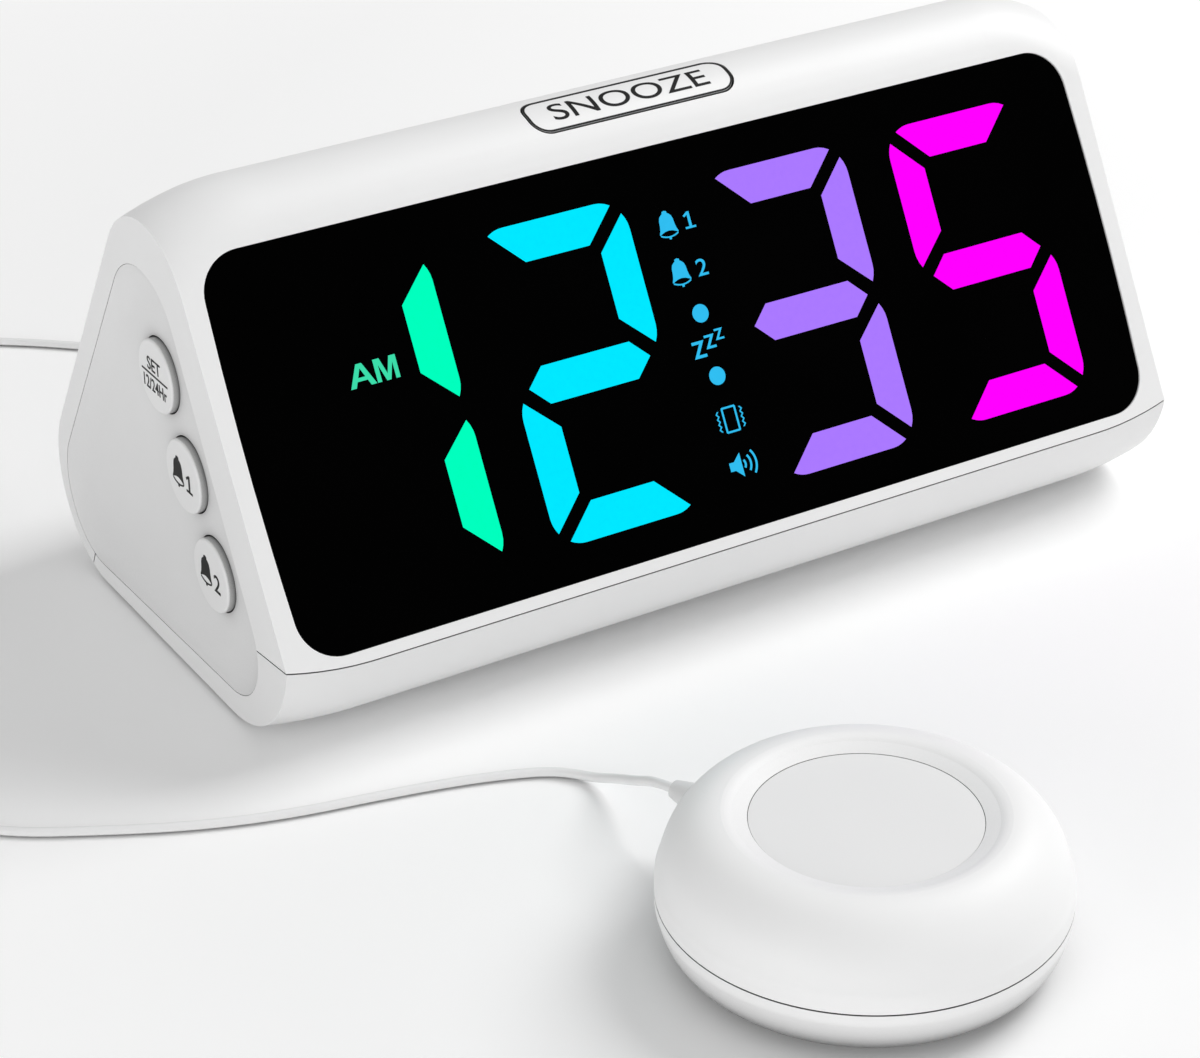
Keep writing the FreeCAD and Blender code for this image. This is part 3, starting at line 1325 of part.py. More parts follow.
gland_tip = gland_axis + GLAND_OUT * gland_reach


# Cord: straight runs joined by tangent arcs as large as the runs allow
def smooth_path(name, points):
    edges = []
    radii = []
    start = points[0]
    for index in range(1, len(points) - 1):
        here = points[index]
        back = points[index - 1] - here
        ahead = points[index + 1] - here
        share = bend_share * min(back.Length, ahead.Length)
        turn_angle = math.pi - back.getAngle(ahead)
        radius = share / math.tan(turn_angle / 2)
        radii.append(radius)
        arc_start = here + back * (share / back.Length)
        arc_end = here + ahead * (share / ahead.Length)
        inward = (arc_start + arc_end) * 0.5 - here
        apex = here + inward * ((radius / math.cos(turn_angle / 2) - radius) / inward.Length)
        edges.append(line(start, arc_start))
        edges.append(Part.Arc(arc_start, apex, arc_end).toShape())
        start = arc_end
    edges.append(line(start, points[-1]))
    print(name, "radii", " ".join(str(round(radius, 1)) for radius in radii))
    return edges


def tube(name, edges):
    spine = Part.Wire(edges)
    first = edges[0]
    start = first.valueAt(first.FirstParameter)
    circle = Part.Circle(start, first.tangentAt(first.FirstParameter), cord_radius).toShape()
    solid = spine.makePipeShell([Part.Wire([circle])], True, False)
    section_area = math.pi * cord_radius ** 2
    print(name, "length", round(spine.Length, 1), "volume ratio", round(solid.Volume / section_area / spine.Length, 4))
    return solid, spine.Length


def biarc(start, start_way, end, end_way):
    """Two arcs that leave start along one direction and reach end along the other."""
    chord = end - start
    ways = start_way + end_way
    a = ways.dot(ways) - 4
    b = -2 * chord.dot(ways)
    c = chord.dot(chord)
    reach_out = (-b - math.sqrt(b * b - 4 * a * c)) / (2 * a)
    first = start + start_way * reach_out
    second = end - end_way * reach_out
    joint = (first + second) * 0.5
    arcs = []
    for p, corner, q in ((start, first, joint), (joint, second, end)):
        middle = (p + q) * 0.5
        half = (q - p).Length / 2
        rise = (corner - middle).Length
        cosine = half / reach_out
        apex = middle + (corner - middle) * (half * (1 - cosine) / math.sqrt(1 - cosine ** 2) / rise)
        arcs.append(Part.Arc(p, apex, q).toShape())
    return arcs


def coil_half_turns():
    """Radius and height at the end of each half turn, from the outside of the lowest layer."""
    outer_radius = coil_inner_radius + coil_turn_pitch * coil_layer_turns
    halves = int(coil_layer_turns * 2)
    radius = outer_radius
    height = coil_z
    steps = [(radius, height)]
    for layer in range(coil_layers):
        way = -1 if layer % 2 == 0 else 1
        for index in range(halves):
            radius = radius + way * coil_turn_pitch / 2
            steps.append((radius, height))
        if layer < coil_layers - 1:
            height = height + coil_layer_pitch
            steps.append((radius, height))
    steps.append((radius + coil_turn_pitch / 2, height))
    return steps


def coil_path():
    edges = []
    steps = coil_half_turns()
    side = -1
    here = Vec(coil_x + side * steps[0][0], coil_y, steps[0][1])
    start = here - Y_AXIS * (cord_radius * 2)
    edges.append(line(start, here))
    way = Y_AXIS
    for radius, height in steps[1:]:
        side = -side
        there = Vec(coil_x + side * radius, coil_y, height)
        edges += biarc(here, way, there, -way)
        here = there
        way = -way
    end = here + way * (cord_radius * 2)
    edges.append(line(here, end))
    return edges, start, end


def least_gap(edges):
    """Least distance between the coil's tube and itself, on points, leaving out its next neighbours."""
    points = []
    travelled = 0.0
    for edge in edges:
        for index in range(coil_sample_count):
            share = index / coil_sample_count
            place = edge.valueAt(edge.FirstParameter + (edge.LastParameter - edge.FirstParameter) * share)
            points.append((travelled + edge.Length * share, place))
        travelled += edge.Length
    least = coil_x * coil_x
    apart = coil_inner_radius * math.pi
    for index, (along, place) in enumerate(points):
        for other_along, other in points[index + 1:]:
            if other_along - along > apart:
                least = min(least, place.distanceToPoint(other))
    return least - cord_radius * 2


coil_edges, coil_start, coil_end = coil_path()
print("coil", len(coil_half_turns()) // 2, "turns, least gap to itself", round(least_gap(coil_edges), 2))
front_points = [gland_tip, gland_tip + GLAND_OUT * first_run]
front_points += [Vec(*point) for point in front_route]
front_points += [coil_start - Y_AXIS * coil_entry_run, coil_start]
rear_points = [coil_end, coil_end + Y_AXIS * coil_leave_run]
rear_points += [Vec(*point) for point in rear_route]
rear_points += [plug_exit + Y_AXIS * last_run, plug_exit]
front_tube, front_long = tube("cord_front", smooth_path("cord_front", front_points))
coil_tube, coil_long = tube("cord_coil", coil_edges)
rear_tube, rear_long = tube("cord_rear", smooth_path("cord_rear", rear_points))
keep("cord_front", front_tube)
keep("cord_coil", coil_tube)
keep("cord_rear", rear_tube)
print("whole cord", round(front_long + coil_long + rear_long, 1))
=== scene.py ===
import math

import bmesh
import bpy
from mathutils import Matrix, Vector


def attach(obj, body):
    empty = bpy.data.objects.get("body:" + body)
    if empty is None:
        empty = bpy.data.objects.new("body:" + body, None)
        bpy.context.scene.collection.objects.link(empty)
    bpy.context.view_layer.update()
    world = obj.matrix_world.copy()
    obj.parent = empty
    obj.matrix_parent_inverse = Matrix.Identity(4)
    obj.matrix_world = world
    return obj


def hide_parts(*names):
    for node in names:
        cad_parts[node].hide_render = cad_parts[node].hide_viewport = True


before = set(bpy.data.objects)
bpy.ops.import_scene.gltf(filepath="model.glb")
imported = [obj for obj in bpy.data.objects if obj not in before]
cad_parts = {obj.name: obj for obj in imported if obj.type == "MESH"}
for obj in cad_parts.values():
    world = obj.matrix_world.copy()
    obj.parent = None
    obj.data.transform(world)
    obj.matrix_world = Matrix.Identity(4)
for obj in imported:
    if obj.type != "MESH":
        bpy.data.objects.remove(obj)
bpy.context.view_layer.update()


# Camera
# It stands left of the clock, in front and above, so that the left end, the
# display and the whole puck show. A long lens keeps the clock's edges nearly parallel.
camera_place = (-0.31835, -0.45641, 0.33849)
camera_turn_degs = (60.79966, 0.52463, -31.3742)
camera_data = bpy.data.cameras.new("camera")
camera_data.sensor_fit = "HORIZONTAL"
camera_data.sensor_width = 36.0
camera_data.lens = 102.276
camera_data.clip_start = 0.01
camera_data.clip_end = 30.0
camera = bpy.data.objects.new("camera", camera_data)
camera.location = camera_place
camera.rotation_euler = [math.radians(turn) for turn in camera_turn_degs]
bpy.context.collection.objects.link(camera)
bpy.context.scene.camera = camera


# Cord
# A limp white two-core cord, 1.8 mm thick, moulded into the puck's gland. It lies on the
# table round the clock's left end, is wound in a coil behind it and ends in the plug.
cord_radius = 0.0009
cord_front_points = [
    (-0.054246, -0.0423, 0.0126),
    (-0.0553, -0.0375, 0.012),
    (-0.0549, -0.031, 0.0082),
    (-0.0544, -0.024, 0.0046),
    (-0.0552, -0.0175, 0.0014),
    (-0.0592, -0.0116, 0.00095),
    (-0.066, -0.0082, 0.00095),
    (-0.0769, -0.0045, 0.00095),
    (-0.091, -0.0012, 0.00095),
    (-0.1065, 0.0019, 0.00095),
    (-0.122, 0.0072, 0.00095),
    (-0.1374, 0.015, 0.00095),
    (-0.1525, 0.0238, 0.00095),
    (-0.1635, 0.037, 0.00095),
    (-0.1675, 0.055, 0.00095),
    (-0.165, 0.0735, 0.00095),
    (-0.1575, 0.091, 0.00095),
    (-0.15145, 0.1082, 0.00095),
]
cord_rear_points = [
    (-0.1528, 0.1378, 0.00845),
    (-0.151, 0.152, 0.0042),
    (-0.1465, 0.1665, 0.00095),
    (-0.138, 0.182, 0.00095),
    (-0.126, 0.1965, 0.00095),
    (-0.1115, 0.208, 0.00095),
    (-0.0955, 0.2135, 0.00095),
    (-0.0815, 0.2115, 0.00095),
    (-0.0695, 0.2028, 0.00095),
    (-0.057, 0.1915, 0.00095),
    (-0.0445, 0.183, 0.00095),
    (-0.0335, 0.1745, 0.00095),
    (-0.0245, 0.166, 0.0026),
    (-0.0182, 0.158, 0.0086),
    (-0.0149, 0.15, 0.0154),
    (-0.014, 0.1422, 0.022),
    (-0.014, 0.133, 0.022),
]
coil_middle = (-0.136, 0.124)
coil_floor = 0.00095
coil_inner_radius = 0.006
coil_half_step = 0.00135
coil_layer_rise = 0.0025
coil_layer_halves = 7
coil_layers = 4
coil_half_points = 8


def coil_points():
    """Points of the wound coil: layer on layer, inwards and outwards by turns."""
    radius = coil_inner_radius + coil_half_step * coil_layer_halves
    height = coil_floor
    steps = [(radius, height)]
    for layer in range(coil_layers):
        way = -1 if layer % 2 == 0 else 1
        for half in range(coil_layer_halves):
            radius += way * coil_half_step
            steps.append((radius, height))
        if layer < coil_layers - 1:
            height += coil_layer_rise
            steps.append((radius, height))
    steps.append((radius + coil_half_step, height))
    spread = 1.0 / math.cos(math.pi / (2 * coil_half_points))
    points = []
    for count in range((len(steps) - 1) * coil_half_points + 1):
        half = min(count // coil_half_points, len(steps) - 2)
        share = count / coil_half_points - half
        reach = (steps[half][0] + (steps[half + 1][0] - steps[half][0]) * share) * spread
        rise = steps[half][1] + (steps[half + 1][1] - steps[half][1]) * share
        turn = math.pi - count * math.pi / coil_half_points
        across = coil_middle[0] + reach * math.cos(turn)
        along = coil_middle[1] + reach * math.sin(turn)
        points.append((across, along, rise))
    return points


cord_points = cord_front_points + coil_points() + cord_rear_points
cord_curve = bpy.data.curves.new("cord", "CURVE")
cord_curve.dimensions = "3D"
cord_curve.resolution_u = 6
cord_curve.bevel_depth = 1.0
cord_curve.bevel_resolution = 3
cord_curve.use_fill_caps = True
cord_line = cord_curve.splines.new("NURBS")
cord_line.points.add(len(cord_points) - 1)
for point, place in zip(cord_line.points, cord_points):
    point.co = (*place, 1.0)
    point.radius = cord_radius
cord_line.order_u = 3
cord_line.use_endpoint_u = True
cord = bpy.data.objects.new("cord", cord_curve)
bpy.context.collection.objects.link(cord)
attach(cord, "clock")
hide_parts("cord_front", "cord_coil", "cord_rear")


# Floor and light
# A seamless white table top in an even white room, a large soft box high at the right and weaker
# ones in front and at the left. The floor's own white, seen by the camera alone, grows outwards.
white = (1.0, 1.0, 1.0, 1.0)
floor_radius = 6.0
floor_colour = (0.94, 0.94, 0.94, 1.0)
# The floor's own white is a painted glow that grows away from the clock: weakest beside it, so
# that the shadows there read deeper.
own_white_middle = (0.25, 0.0, 0.0)
own_white_near = 0.38
own_white_far = 1.4
own_white_least = 0.06
own_white_most = 0.6
room_level = 0.44
soft_boxes = (
    ("box_right", (0.95, 0.0, 1.0), 0.8, 12.2),
    ("box_front", (-0.5, -1.4, 0.4), 0.9, 3.6),
    ("box_left", (-1.3, -0.45, 0.25), 0.7, 4.4),
)
lit_spot = Vector((0.0, 0.0, 0.03))


def new_material(name):
    """A material with its tree cleared, its surface shader and the shader's output joined."""
    material = bpy.data.materials.new(name)
    material.use_nodes = True
    tree = material.node_tree
    tree.nodes.clear()
    shader = tree.nodes.new("ShaderNodeBsdfPrincipled")
    output = tree.nodes.new("ShaderNodeOutputMaterial")
    tree.links.new(shader.outputs["BSDF"], output.inputs["Surface"])
    return material, tree, shader


floor_mesh = bpy.data.meshes.new("floor")
floor_form = bmesh.new()
bmesh.ops.create_circle(floor_form, cap_ends=True, segments=96, radius=floor_radius)
floor_form.to_mesh(floor_mesh)
floor_form.free()
floor = bpy.data.objects.new("floor", floor_mesh)
bpy.context.collection.objects.link(floor)

floor_material, tree, shader = new_material("floor_white")
shader.inputs["Base Color"].default_value = floor_colour
shader.inputs["Roughness"].default_value = 0.6
shader.inputs["Specular IOR Level"].default_value = 0.2
ray = tree.nodes.new("ShaderNodeLightPath")
seen = tree.nodes.new("ShaderNodeMath")
seen.operation = "MAXIMUM"
tree.links.new(ray.outputs["Is Camera Ray"], seen.inputs[0])
tree.links.new(ray.outputs["Is Glossy Ray"], seen.inputs[1])
seen_more = tree.nodes.new("ShaderNodeMath")
seen_more.operation = "MAXIMUM"
tree.links.new(seen.outputs[0], seen_more.inputs[0])
tree.links.new(ray.outputs["Is Transmission Ray"], seen_more.inputs[1])
place = tree.nodes.new("ShaderNodeTexCoord")
away = tree.nodes.new("ShaderNodeVectorMath")
away.operation = "DISTANCE"
away.inputs[1].default_value = own_white_middle
tree.links.new(place.outputs["Object"], away.inputs[0])
far_white = tree.nodes.new("ShaderNodeMapRange")
far_white.inputs["From Min"].default_value = own_white_near
far_white.inputs["From Max"].default_value = own_white_far
far_white.inputs["To Min"].default_value = own_white_least
far_white.inputs["To Max"].default_value = own_white_most
tree.links.new(away.outputs["Value"], far_white.inputs["Value"])
own_white = tree.nodes.new("ShaderNodeMath")
own_white.operation = "MULTIPLY"
tree.links.new(far_white.outputs["Result"], own_white.inputs[1])
tree.links.new(seen_more.outputs[0], own_white.inputs[0])
shader.inputs["Emission Color"].default_value = white
tree.links.new(own_white.outputs[0], shader.inputs["Emission Strength"])
floor_mesh.materials.append(floor_material)

world = bpy.data.worlds.new("room")
bpy.context.scene.world = world
world.use_nodes = True
tree = world.node_tree
tree.nodes.clear()
room_light = tree.nodes.new("ShaderNodeBackground")
room_light.inputs["Color"].default_value = white
room_light.inputs["Strength"].default_value = room_level
room_seen = tree.nodes.new("ShaderNodeBackground")
room_seen.inputs["Color"].default_value = white
room_seen.inputs["Strength"].default_value = 1.0
ray = tree.nodes.new("ShaderNodeLightPath")
choice = tree.nodes.new("ShaderNodeMixShader")
output = tree.nodes.new("ShaderNodeOutputWorld")
tree.links.new(ray.outputs["Is Camera Ray"], choice.inputs["Fac"])
tree.links.new(room_light.outputs["Background"], choice.inputs[1])
tree.links.new(room_seen.outputs["Background"], choice.inputs[2])
tree.links.new(choice.outputs["Shader"], output.inputs["Surface"])

for name, spot, width, power in soft_boxes:
    lamp = bpy.data.lights.new(name, "AREA")
    lamp.shape = "SQUARE"
    lamp.size = width
    lamp.energy = power
    holder = bpy.data.objects.new(name, lamp)
    holder.location = spot
    holder.rotation_euler = (lit_spot - Vector(spot)).to_track_quat("-Z", "Y").to_euler()
    bpy.context.collection.objects.link(holder)
bpy.context.scene.view_settings.view_transform = "Standard"


# White housing
# The one-piece shell with the display's bezel, rounded top and grilled back, moulded in
# white plastic with a satin skin. Its tray below is the same plastic from another mould.
cloud_scale = 34.0
smear_scale = 90.0
gloss_spread = 0.08
grain_depth = 0.0001
skin_inputs = (
    "Cloud",
    "Gloss",
    "Grain Size",
    "Grain",
    "Seam",
    "Painted Shade Reach",
    "Painted Shade Start",
    "Painted Shade End",
)


def moulded_skin_and_shade():
    """Node group of a moulded skin: faint clouds, painted shade in gaps and hollows, fine grain
    and uneven gloss.
    """
    group = bpy.data.node_groups.new("moulded_skin_and_shade", "ShaderNodeTree")
    sockets = group.interface
    sockets.new_socket(name="Colour", in_out="INPUT", socket_type="NodeSocketColor")
    for name in skin_inputs:
        sockets.new_socket(name=name, in_out="INPUT", socket_type="NodeSocketFloat")
    sockets.new_socket(name="Colour", in_out="OUTPUT", socket_type="NodeSocketColor")
    sockets.new_socket(name="Roughness", in_out="OUTPUT", socket_type="NodeSocketFloat")
    sockets.new_socket(name="Normal", in_out="OUTPUT", socket_type="NodeSocketVector")
    given = group.nodes.new("NodeGroupInput")
    result = group.nodes.new("NodeGroupOutput")
    place = group.nodes.new("ShaderNodeTexCoord")
    cloud = group.nodes.new("ShaderNodeTexNoise")
    cloud.inputs["Scale"].default_value = cloud_scale
    cloud.inputs["Detail"].default_value = 3.0
    group.links.new(place.outputs["Object"], cloud.inputs["Vector"])
    darker = group.nodes.new("ShaderNodeHueSaturation")
    group.links.new(given.outputs["Colour"], darker.inputs["Color"])
    depth = group.nodes.new("ShaderNodeMath")
    depth.operation = "MULTIPLY"
    group.links.new(cloud.outputs["Fac"], depth.inputs[0])
    group.links.new(given.outputs["Cloud"], depth.inputs[1])
    level = group.nodes.new("ShaderNodeMath")
    level.operation = "SUBTRACT"
    level.inputs[0].default_value = 1.0
    group.links.new(depth.outputs[0], level.inputs[1])
    # Painted shade: occlusion within the reach darkens the colour in gaps, creases and hollows,
    # and beside other parts and the table.
    shut_in = group.nodes.new("ShaderNodeAmbientOcclusion")
    shut_in.samples = 8
    group.links.new(given.outputs["Painted Shade Reach"], shut_in.inputs["Distance"])
    open_sky = group.nodes.new("ShaderNodeMapRange")
    group.links.new(given.outputs["Painted Shade Start"], open_sky.inputs["From Min"])
    group.links.new(given.outputs["Painted Shade End"], open_sky.inputs["From Max"])
    group.links.new(given.outputs["Seam"], open_sky.inputs["To Min"])
    group.links.new(shut_in.outputs["AO"], open_sky.inputs["Value"])
    dimmed = group.nodes.new("ShaderNodeMath")
    dimmed.operation = "MULTIPLY"
    group.links.new(level.outputs[0], dimmed.inputs[0])
    group.links.new(open_sky.outputs["Result"], dimmed.inputs[1])
    group.links.new(dimmed.outputs[0], darker.inputs["Value"])
    group.links.new(darker.outputs["Color"], result.inputs["Colour"])
    smear = group.nodes.new("ShaderNodeTexNoise")
    smear.inputs["Scale"].default_value = smear_scale
    smear.inputs["Detail"].default_value = 4.0
    group.links.new(place.outputs["Object"], smear.inputs["Vector"])
    centred = group.nodes.new("ShaderNodeMath")
    centred.operation = "SUBTRACT"
    centred.inputs[1].default_value = 0.5
    group.links.new(smear.outputs["Fac"], centred.inputs[0])
    gloss = group.nodes.new("ShaderNodeMath")
    gloss.operation = "MULTIPLY_ADD"
    group.links.new(centred.outputs[0], gloss.inputs[0])
    gloss.inputs[1].default_value = gloss_spread
    group.links.new(given.outputs["Gloss"], gloss.inputs[2])
    group.links.new(gloss.outputs[0], result.inputs["Roughness"])
    grain = group.nodes.new("ShaderNodeTexNoise")
    grain.inputs["Detail"].default_value = 2.0
    group.links.new(place.outputs["Object"], grain.inputs["Vector"])
    group.links.new(given.outputs["Grain Size"], grain.inputs["Scale"])
    relief = group.nodes.new("ShaderNodeBump")
    relief.inputs["Distance"].default_value = grain_depth
    group.links.new(grain.outputs["Fac"], relief.inputs["Height"])
    group.links.new(given.outputs["Grain"], relief.inputs["Strength"])
    group.links.new(relief.outputs["Normal"], result.inputs["Normal"])
    return group


moulded_group = moulded_skin_and_shade()


def moulded(
    name,
    colour,
    gloss,
    grain,
    cloud=0.04,
    grain_size=2200.0,
    painted_shade_level=0.04,
    reach=0.0014,
    start=0.12,
    end=0.62,
):
    """A moulded plastic of this colour, through the moulded skin's group, with painted shade in
    its gaps and hollows.
    """
    material, tree, shader = new_material(name)
    skin = tree.nodes.new("ShaderNodeGroup")
    skin.node_tree = moulded_group
    skin.inputs["Colour"].default_value = (*colour, 1.0)
    skin.inputs["Cloud"].default_value = cloud
    skin.inputs["Gloss"].default_value = gloss
    skin.inputs["Seam"].default_value = painted_shade_level
    skin.inputs["Painted Shade Reach"].default_value = reach
    skin.inputs["Painted Shade Start"].default_value = start
    skin.inputs["Painted Shade End"].default_value = end
    skin.inputs["Grain Size"].default_value = grain_size
    skin.inputs["Grain"].default_value = grain
    tree.links.new(skin.outputs["Colour"], shader.inputs["Base Color"])
    tree.links.new(skin.outputs["Roughness"], shader.inputs["Roughness"])
    tree.links.new(skin.outputs["Normal"], shader.inputs["Normal"])
    return material


def finish_nodes(material, *names):
    """These CAD nodes get this material on every slot."""
    for name in names:
        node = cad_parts[name]
        if not node.material_slots:
            node.data.materials.append(material)
        for slot in node.material_slots:
            slot.material = material


housing_white = moulded("housing_white", (0.88, 0.88, 0.88), gloss=0.46, grain=0.04)
finish_nodes(housing_white, "housing")


# Base tray and battery door
# The lower front chin and the bottom plate are one white tray, held by two screws at the
# back and three tongues at the front. The battery door in it is of the same plastic.
tray_white = moulded("tray_white", (0.86, 0.86, 0.86), gloss=0.46, grain=0.06)
finish_nodes(tray_white, "base_tray", "battery_door")


# End panels
# Dished caps in a pale grey plastic with a finer, duller grain than the shell, snapped
# into each end and carrying the side buttons.
# Painted shade darkens the panels towards their rims and round the buttons, wherever a surface
# lies within 8 mm.
panel_grey = moulded(
    "panel_grey",
    (0.82, 0.82, 0.82),
    gloss=0.46,
    grain=0.1,
    grain_size=3000.0,
    painted_shade_level=0.2,
    reach=0.008,
    end=1.0,
)
finish_nodes(panel_grey, "end_panel_left", "end_panel_right")


# Buttons
# Three round push buttons in each end and the snooze key in the top, moulded in white and
# polished smoother than the panels round them.
# Painted shade darkens the buttons' and the key's sides in their gaps, within 4 and 3 mm.
button_white = moulded(
    "button_white", (0.86, 0.86, 0.86), gloss=0.42, grain=0.04, reach=0.004, start=0.3, end=0.92
)
key_white = moulded(
    "key_white", (0.88, 0.88, 0.88), gloss=0.44, grain=0.04, reach=0.003, start=0.35, end=0.95
)
finish_nodes(
    button_white,
    "set_button",
    "alarm_1_button",
    "alarm_2_button",
    "plus_button",
    "minus_button",
    "light_button",
)
finish_nodes(key_white, "snooze_key")


# Display window
# A sheet of black acrylic let into the bezel, so deep that it shows hardly any reflection,
# only a faint haze of fine wipe marks. The lit bars and marks shine through its front.
window_black, tree, shader = new_material("window_black")
place = tree.nodes.new("ShaderNodeTexCoord")
wipe = tree.nodes.new("ShaderNodeTexNoise")
wipe.inputs["Scale"].default_value = 26.0
wipe.inputs["Detail"].default_value = 5.0
wipe.inputs["Distortion"].default_value = 0.6
tree.links.new(place.outputs["Object"], wipe.inputs["Vector"])
haze = tree.nodes.new("ShaderNodeMapRange")
haze.inputs["To Min"].default_value = 0.16
haze.inputs["To Max"].default_value = 0.28
tree.links.new(wipe.outputs["Fac"], haze.inputs["Value"])
tree.links.new(haze.outputs["Result"], shader.inputs["Roughness"])
tint = tree.nodes.new("ShaderNodeMapRange")
tint.inputs["To Max"].default_value = 0.0006
tree.links.new(wipe.outputs["Fac"], tint.inputs["Value"])
tree.links.new(tint.outputs["Result"], shader.inputs["Base Color"])
shader.inputs["Specular IOR Level"].default_value = 0.01
finish_nodes(window_black, "display_window")


# Lit bars and dots
# The digits' bars and the colon are coloured light guides seen through the window, each
# evenly lit, with a trace of the diffuser's grain.
def lit(name, colour, strength=1.0):
    """A light guide of this colour, with the faint grain of a diffuser film in its light."""
    material, tree, shader = new_material(name)
    place = tree.nodes.new("ShaderNodeTexCoord")
    film = tree.nodes.new("ShaderNodeTexNoise")
    film.inputs["Scale"].default_value = 900.0
    film.inputs["Detail"].default_value = 2.0
    tree.links.new(place.outputs["Object"], film.inputs["Vector"])
    level = tree.nodes.new("ShaderNodeMapRange")
    level.inputs["To Min"].default_value = 0.95
    level.inputs["To Max"].default_value = 1.03
    tree.links.new(film.outputs["Fac"], level.inputs["Value"])
    glow = tree.nodes.new("ShaderNodeHueSaturation")
    glow.inputs["Color"].default_value = (*colour, 1.0)
    tree.links.new(level.outputs["Result"], glow.inputs["Value"])
    tree.links.new(glow.outputs["Color"], shader.inputs["Emission Color"])
    shader.inputs["Emission Strength"].default_value = strength
    shader.inputs["Base Color"].default_value = (*[channel * 0.02 for channel in colour], 1.0)
    shader.inputs["Roughness"].default_value = 0.3
    shader.inputs["Specular IOR Level"].default_value = 0.01
    return material


bar_green = lit("bar_green", (0.0, 1.0, 0.51))
bar_cyan = lit("bar_cyan", (0.0, 0.8, 1.0))
bar_violet = lit("bar_violet", (0.4, 0.19, 1.0))
bar_magenta = lit("bar_magenta", (1.0, 0.0, 1.0))
finish_nodes(bar_green, "digit_1_bars")
finish_nodes(bar_cyan, "digit_2_bars")
finish_nodes(bar_violet, "digit_3_bars")
finish_nodes(bar_magenta, "digit_4_bars")
icon_blue = lit("icon_blue", (0.03, 0.51, 0.87))
finish_nodes(icon_blue, "colon_dots")


# Small lit marks on the display
# Bells, sleep letters, a buzzer, a loudspeaker and the morning mark are printed in the
# window's mask and lit from behind. They lie flush in its front, level with the bars.
window_rise = Vector((0.0, 0.4894, 0.8721))
window_out = Vector((0.0, -0.8721, 0.4894))
window_start = Vector((0.0, 0.01334885, 0.01910424))
mark_height = 0.00006
window_place = Matrix(
    (
        (1.0, 0.0, window_out.x, window_start.x),
        (0.0, window_rise.y, window_out.y, window_start.y),
        (0.0, window_rise.z, window_out.z, window_start.z),
        (0.0, 0.0, 0.0, 1.0),
    )
)
mark_scale = 0.001
crease_to_middle = 37.0
ring_steps = 12


def raise_flat(form, height):
    """Gives the flat faces of the form a thickness, upwards along Z."""
    drawn = bmesh.ops.extrude_face_region(form, geom=form.faces[:])
    raised = [item for item in drawn["geom"] if isinstance(item, bmesh.types.BMVert)]
    bmesh.ops.translate(form, verts=raised, vec=(0.0, 0.0, height))
    bmesh.ops.recalc_face_normals(form, faces=form.faces[:])


def put_mark(name, form, material, place, body):
    """Turns a form drawn in millimetres into a piece at its place on the object."""
    bmesh.ops.scale(form, verts=form.verts[:], vec=(mark_scale, mark_scale, 1.0))
    raise_flat(form, mark_height)
    mesh = bpy.data.meshes.new(name)
    form.to_mesh(mesh)
    form.free()
    mesh.transform(place)
    mesh.materials.append(material)
    mark = bpy.data.objects.new(name, mesh)
    bpy.context.collection.objects.link(mark)
    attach(mark, body)
    return mark


def outline(form, points):
    """One flat face through these points."""
    form.faces.new([form.verts.new((x, y, 0.0)) for x, y in points])


def letters(form, words, left, right, low, high, boldness=0.0):
    """Plain letters, fitted into the box from left to right and from low to high."""
    text = bpy.data.curves.new("letters", "FONT")
    text.body = words
    text.offset = boldness
    writer = bpy.data.objects.new("letters", text)
    bpy.context.collection.objects.link(writer)
    bpy.context.view_layer.update()
    seen_writer = writer.evaluated_get(bpy.context.evaluated_depsgraph_get())
    mesh = bpy.data.meshes.new_from_object(seen_writer)
    bpy.data.objects.remove(writer)
    across = [vertex.co.x for vertex in mesh.vertices]
    up = [vertex.co.y for vertex in mesh.vertices]
    wide = (right - left) / (max(across) - min(across))
    tall = (high - low) / (max(up) - min(up))
    fit = Matrix.Translation((left, low, 0.0)) @ Matrix.Diagonal((wide, tall, 1.0, 1.0))
    mesh.transform(fit @ Matrix.Translation((-min(across), -min(up), 0.0)))
    form.from_mesh(mesh)
    bpy.data.meshes.remove(mesh)


def ring_part(form, middle, inner, outer, start, turn):
    """A flat piece of a ring round the middle, from the start angle through the turn."""
    ends = []
    for reach in (inner, outer):
        across = middle[0] + reach * math.cos(start)
        up = middle[1] + reach * math.sin(start)
        ends.append(form.verts.new((across, up, 0.0)))
    edge = form.edges.new(ends)
    bmesh.ops.spin(
        form,
        geom=ends + [edge],
        cent=(*middle, 0.0),
        axis=(0.0, 0.0, 1.0),
        angle=turn,
        steps=ring_steps,
    )


numeral_one_width = 2.0
numeral_one_height = 3.25
numeral_one = (
    (0.0, 0.0), (2.0, 0.0), (2.0, 0.4), (1.28, 0.4), (1.28, 3.25), (0.86, 3.25), (0.0, 2.62),
    (0.24, 2.28), (0.78, 2.68), (0.78, 0.4), (0.0, 0.4),
)


def numeral(form, number, left, right, low, high):
    """The numeral one with its foot, or another numeral in the plain letters."""
    if number == "1":
        wide = (right - left) / numeral_one_width
        tall = (high - low) / numeral_one_height
        outline(form, [(left + x * wide, low + y * tall) for x, y in numeral_one])
    else:
        letters(form, number, left, right, low, high, boldness=0.004)


bell_half = (
    (0.0, 0.6), (0.85, 0.48), (1.54, 0.21), (2.02, -0.05), (2.07, 0.19), (1.8, 0.77),
    (1.62, 1.62), (1.52, 2.67), (1.28, 3.34), (0.8, 3.77), (0.53, 3.91), (0.49, 4.29),
    (0.0, 4.44),
)
bell_lip_radius = 4.0
bell_lip_turn = math.radians(28.5)
bell_lip_half = 0.14
bell_lip_below = 0.62
bell_clapper = ((-0.28, -0.76), (-0.2, -1.12), (0.2, -1.12), (0.28, -0.76))


